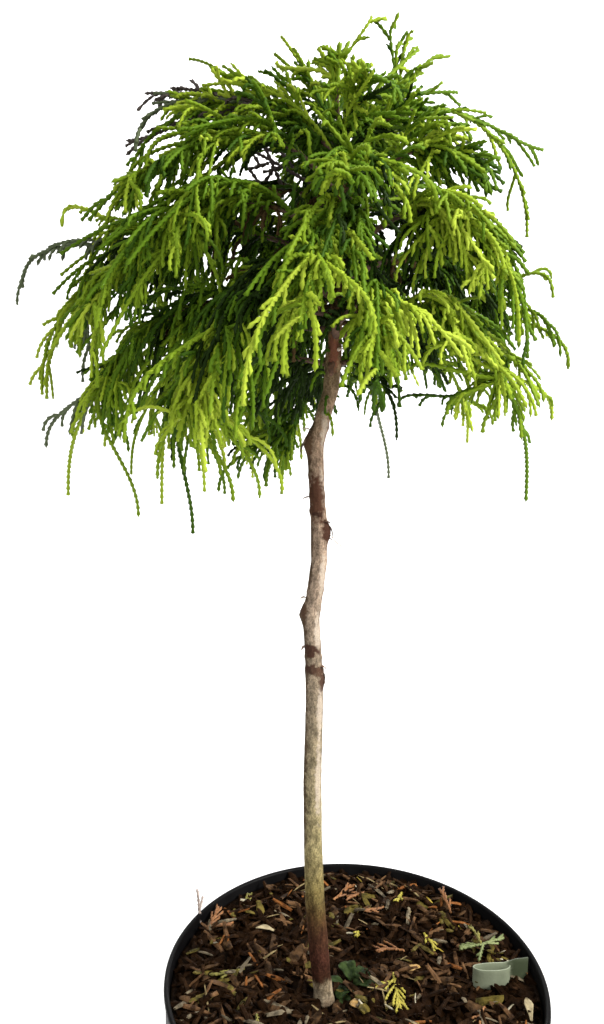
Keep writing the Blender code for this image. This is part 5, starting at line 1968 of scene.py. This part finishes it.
weed_finish, *_ = blotched_finish(
    "Weed leaf", (0.006, 0.012, 0.003), (0.034, 0.054, 0.015), 260.0, 0.6, 0.5, 900.0, 0.0003,
    Specular_IOR_Level=0.05)
tan_finish, *_ = blotched_finish(
    "Fallen leaf", (0.200, 0.100, 0.020), (0.460, 0.280, 0.080), 300.0, 0.4, 0.6, 900.0, 0.0003)
husk_finish, *_ = blotched_finish(
    "Pale husk", (0.160, 0.125, 0.065), (0.400, 0.330, 0.190), 300.0, 0.4, 0.5, 900.0, 0.0003,
    Specular_IOR_Level=0.2)
for kind, (name, finish) in enumerate((("weed_leaves", weed_finish), ("fallen_leaves", tan_finish),
                                       ("pale_husks", husk_finish))):
    dress(leaf_piece(name, fallen(kind), finish), [])

# %% [markdown]
# Where shoots were cut, loose bark peels off the stem in small curls. A curl is the same thin
# shape as a leaf, narrower, and its foot is set in the stem's skin.

# %% Peel the bark
# height, bearing of the foot, heading, rise, length, width, curl, pale or brown
BARK_CURLS = (
    (0.3735, -10, 15, -50, 0.0075, 0.0024, 0.8, "brown"),
    (0.369, -15, 350, -58, 0.0105, 0.0016, -0.7, "pale"),
    (0.3745, -55, 20, 25, 0.005, 0.0026, 1.6, "brown"),
    (0.367, -5, 0, -20, 0.005, 0.0018, 1.4, "brown"),
    (0.3055, -40, 15, 10, 0.0055, 0.0026, 1.8, "brown"),
    (0.303, -15, 10, -45, 0.007, 0.002, 1.1, "pale"),
    (0.2985, -10, 350, -65, 0.006, 0.0018, 1.0, "brown"),
    (0.3335, 188, 200, -60, 0.007, 0.0024, 1.2, "brown"),
    (0.338, 170, 190, 20, 0.004, 0.0024, 1.4, "pale"),
    (0.3862, 190, 182, -5, 0.0036, 0.0024, 0.4, "brown"),
    (0.315, 185, 200, -30, 0.0032, 0.0022, 0.9, "brown"),
    (0.412, 186, 200, -50, 0.007, 0.0028, 1.0, "brown"),
    (0.417, 200, 170, 40, 0.0055, 0.0024, 1.6, "pale"),
    (0.458, -80, 262, 62, 0.009, 0.0034, 0.8, "brown"),
    (0.449, -100, 250, -60, 0.008, 0.0032, 0.9, "brown"),
    (0.453, -60, 300, 40, 0.006, 0.0026, 1.4, "pale"),
)
CURL_SUNK = 0.0004


def curls(kind):
    """The curls of one kind, each with its foot just inside the bark."""
    found = []
    for height, angle, *rest, which in BARK_CURLS:
        if which == kind:
            angle = math.radians(angle)
            foot = stem_at(height) + bearing(angle, 0.0) * (bark_radius(height, angle) - CURL_SUNK)
            found.append((foot, *rest))
    return found


pale_curl_finish, *_ = blotched_finish(
    "Pale peeled bark", (0.300, 0.210, 0.150), (0.520, 0.410, 0.320), 420.0, 0.5, 0.6, 1500.0, 0.0003)
brown_curl_finish, *_ = blotched_finish(
    "Brown peeled bark", (0.050, 0.022, 0.013), (0.220, 0.110, 0.065), 420.0, 0.5, 0.6, 1500.0, 0.0003)
for kind, finish in (("pale", pale_curl_finish), ("brown", brown_curl_finish)):
    dress(leaf_piece("bark_curls_" + kind, curls(kind), finish), [])
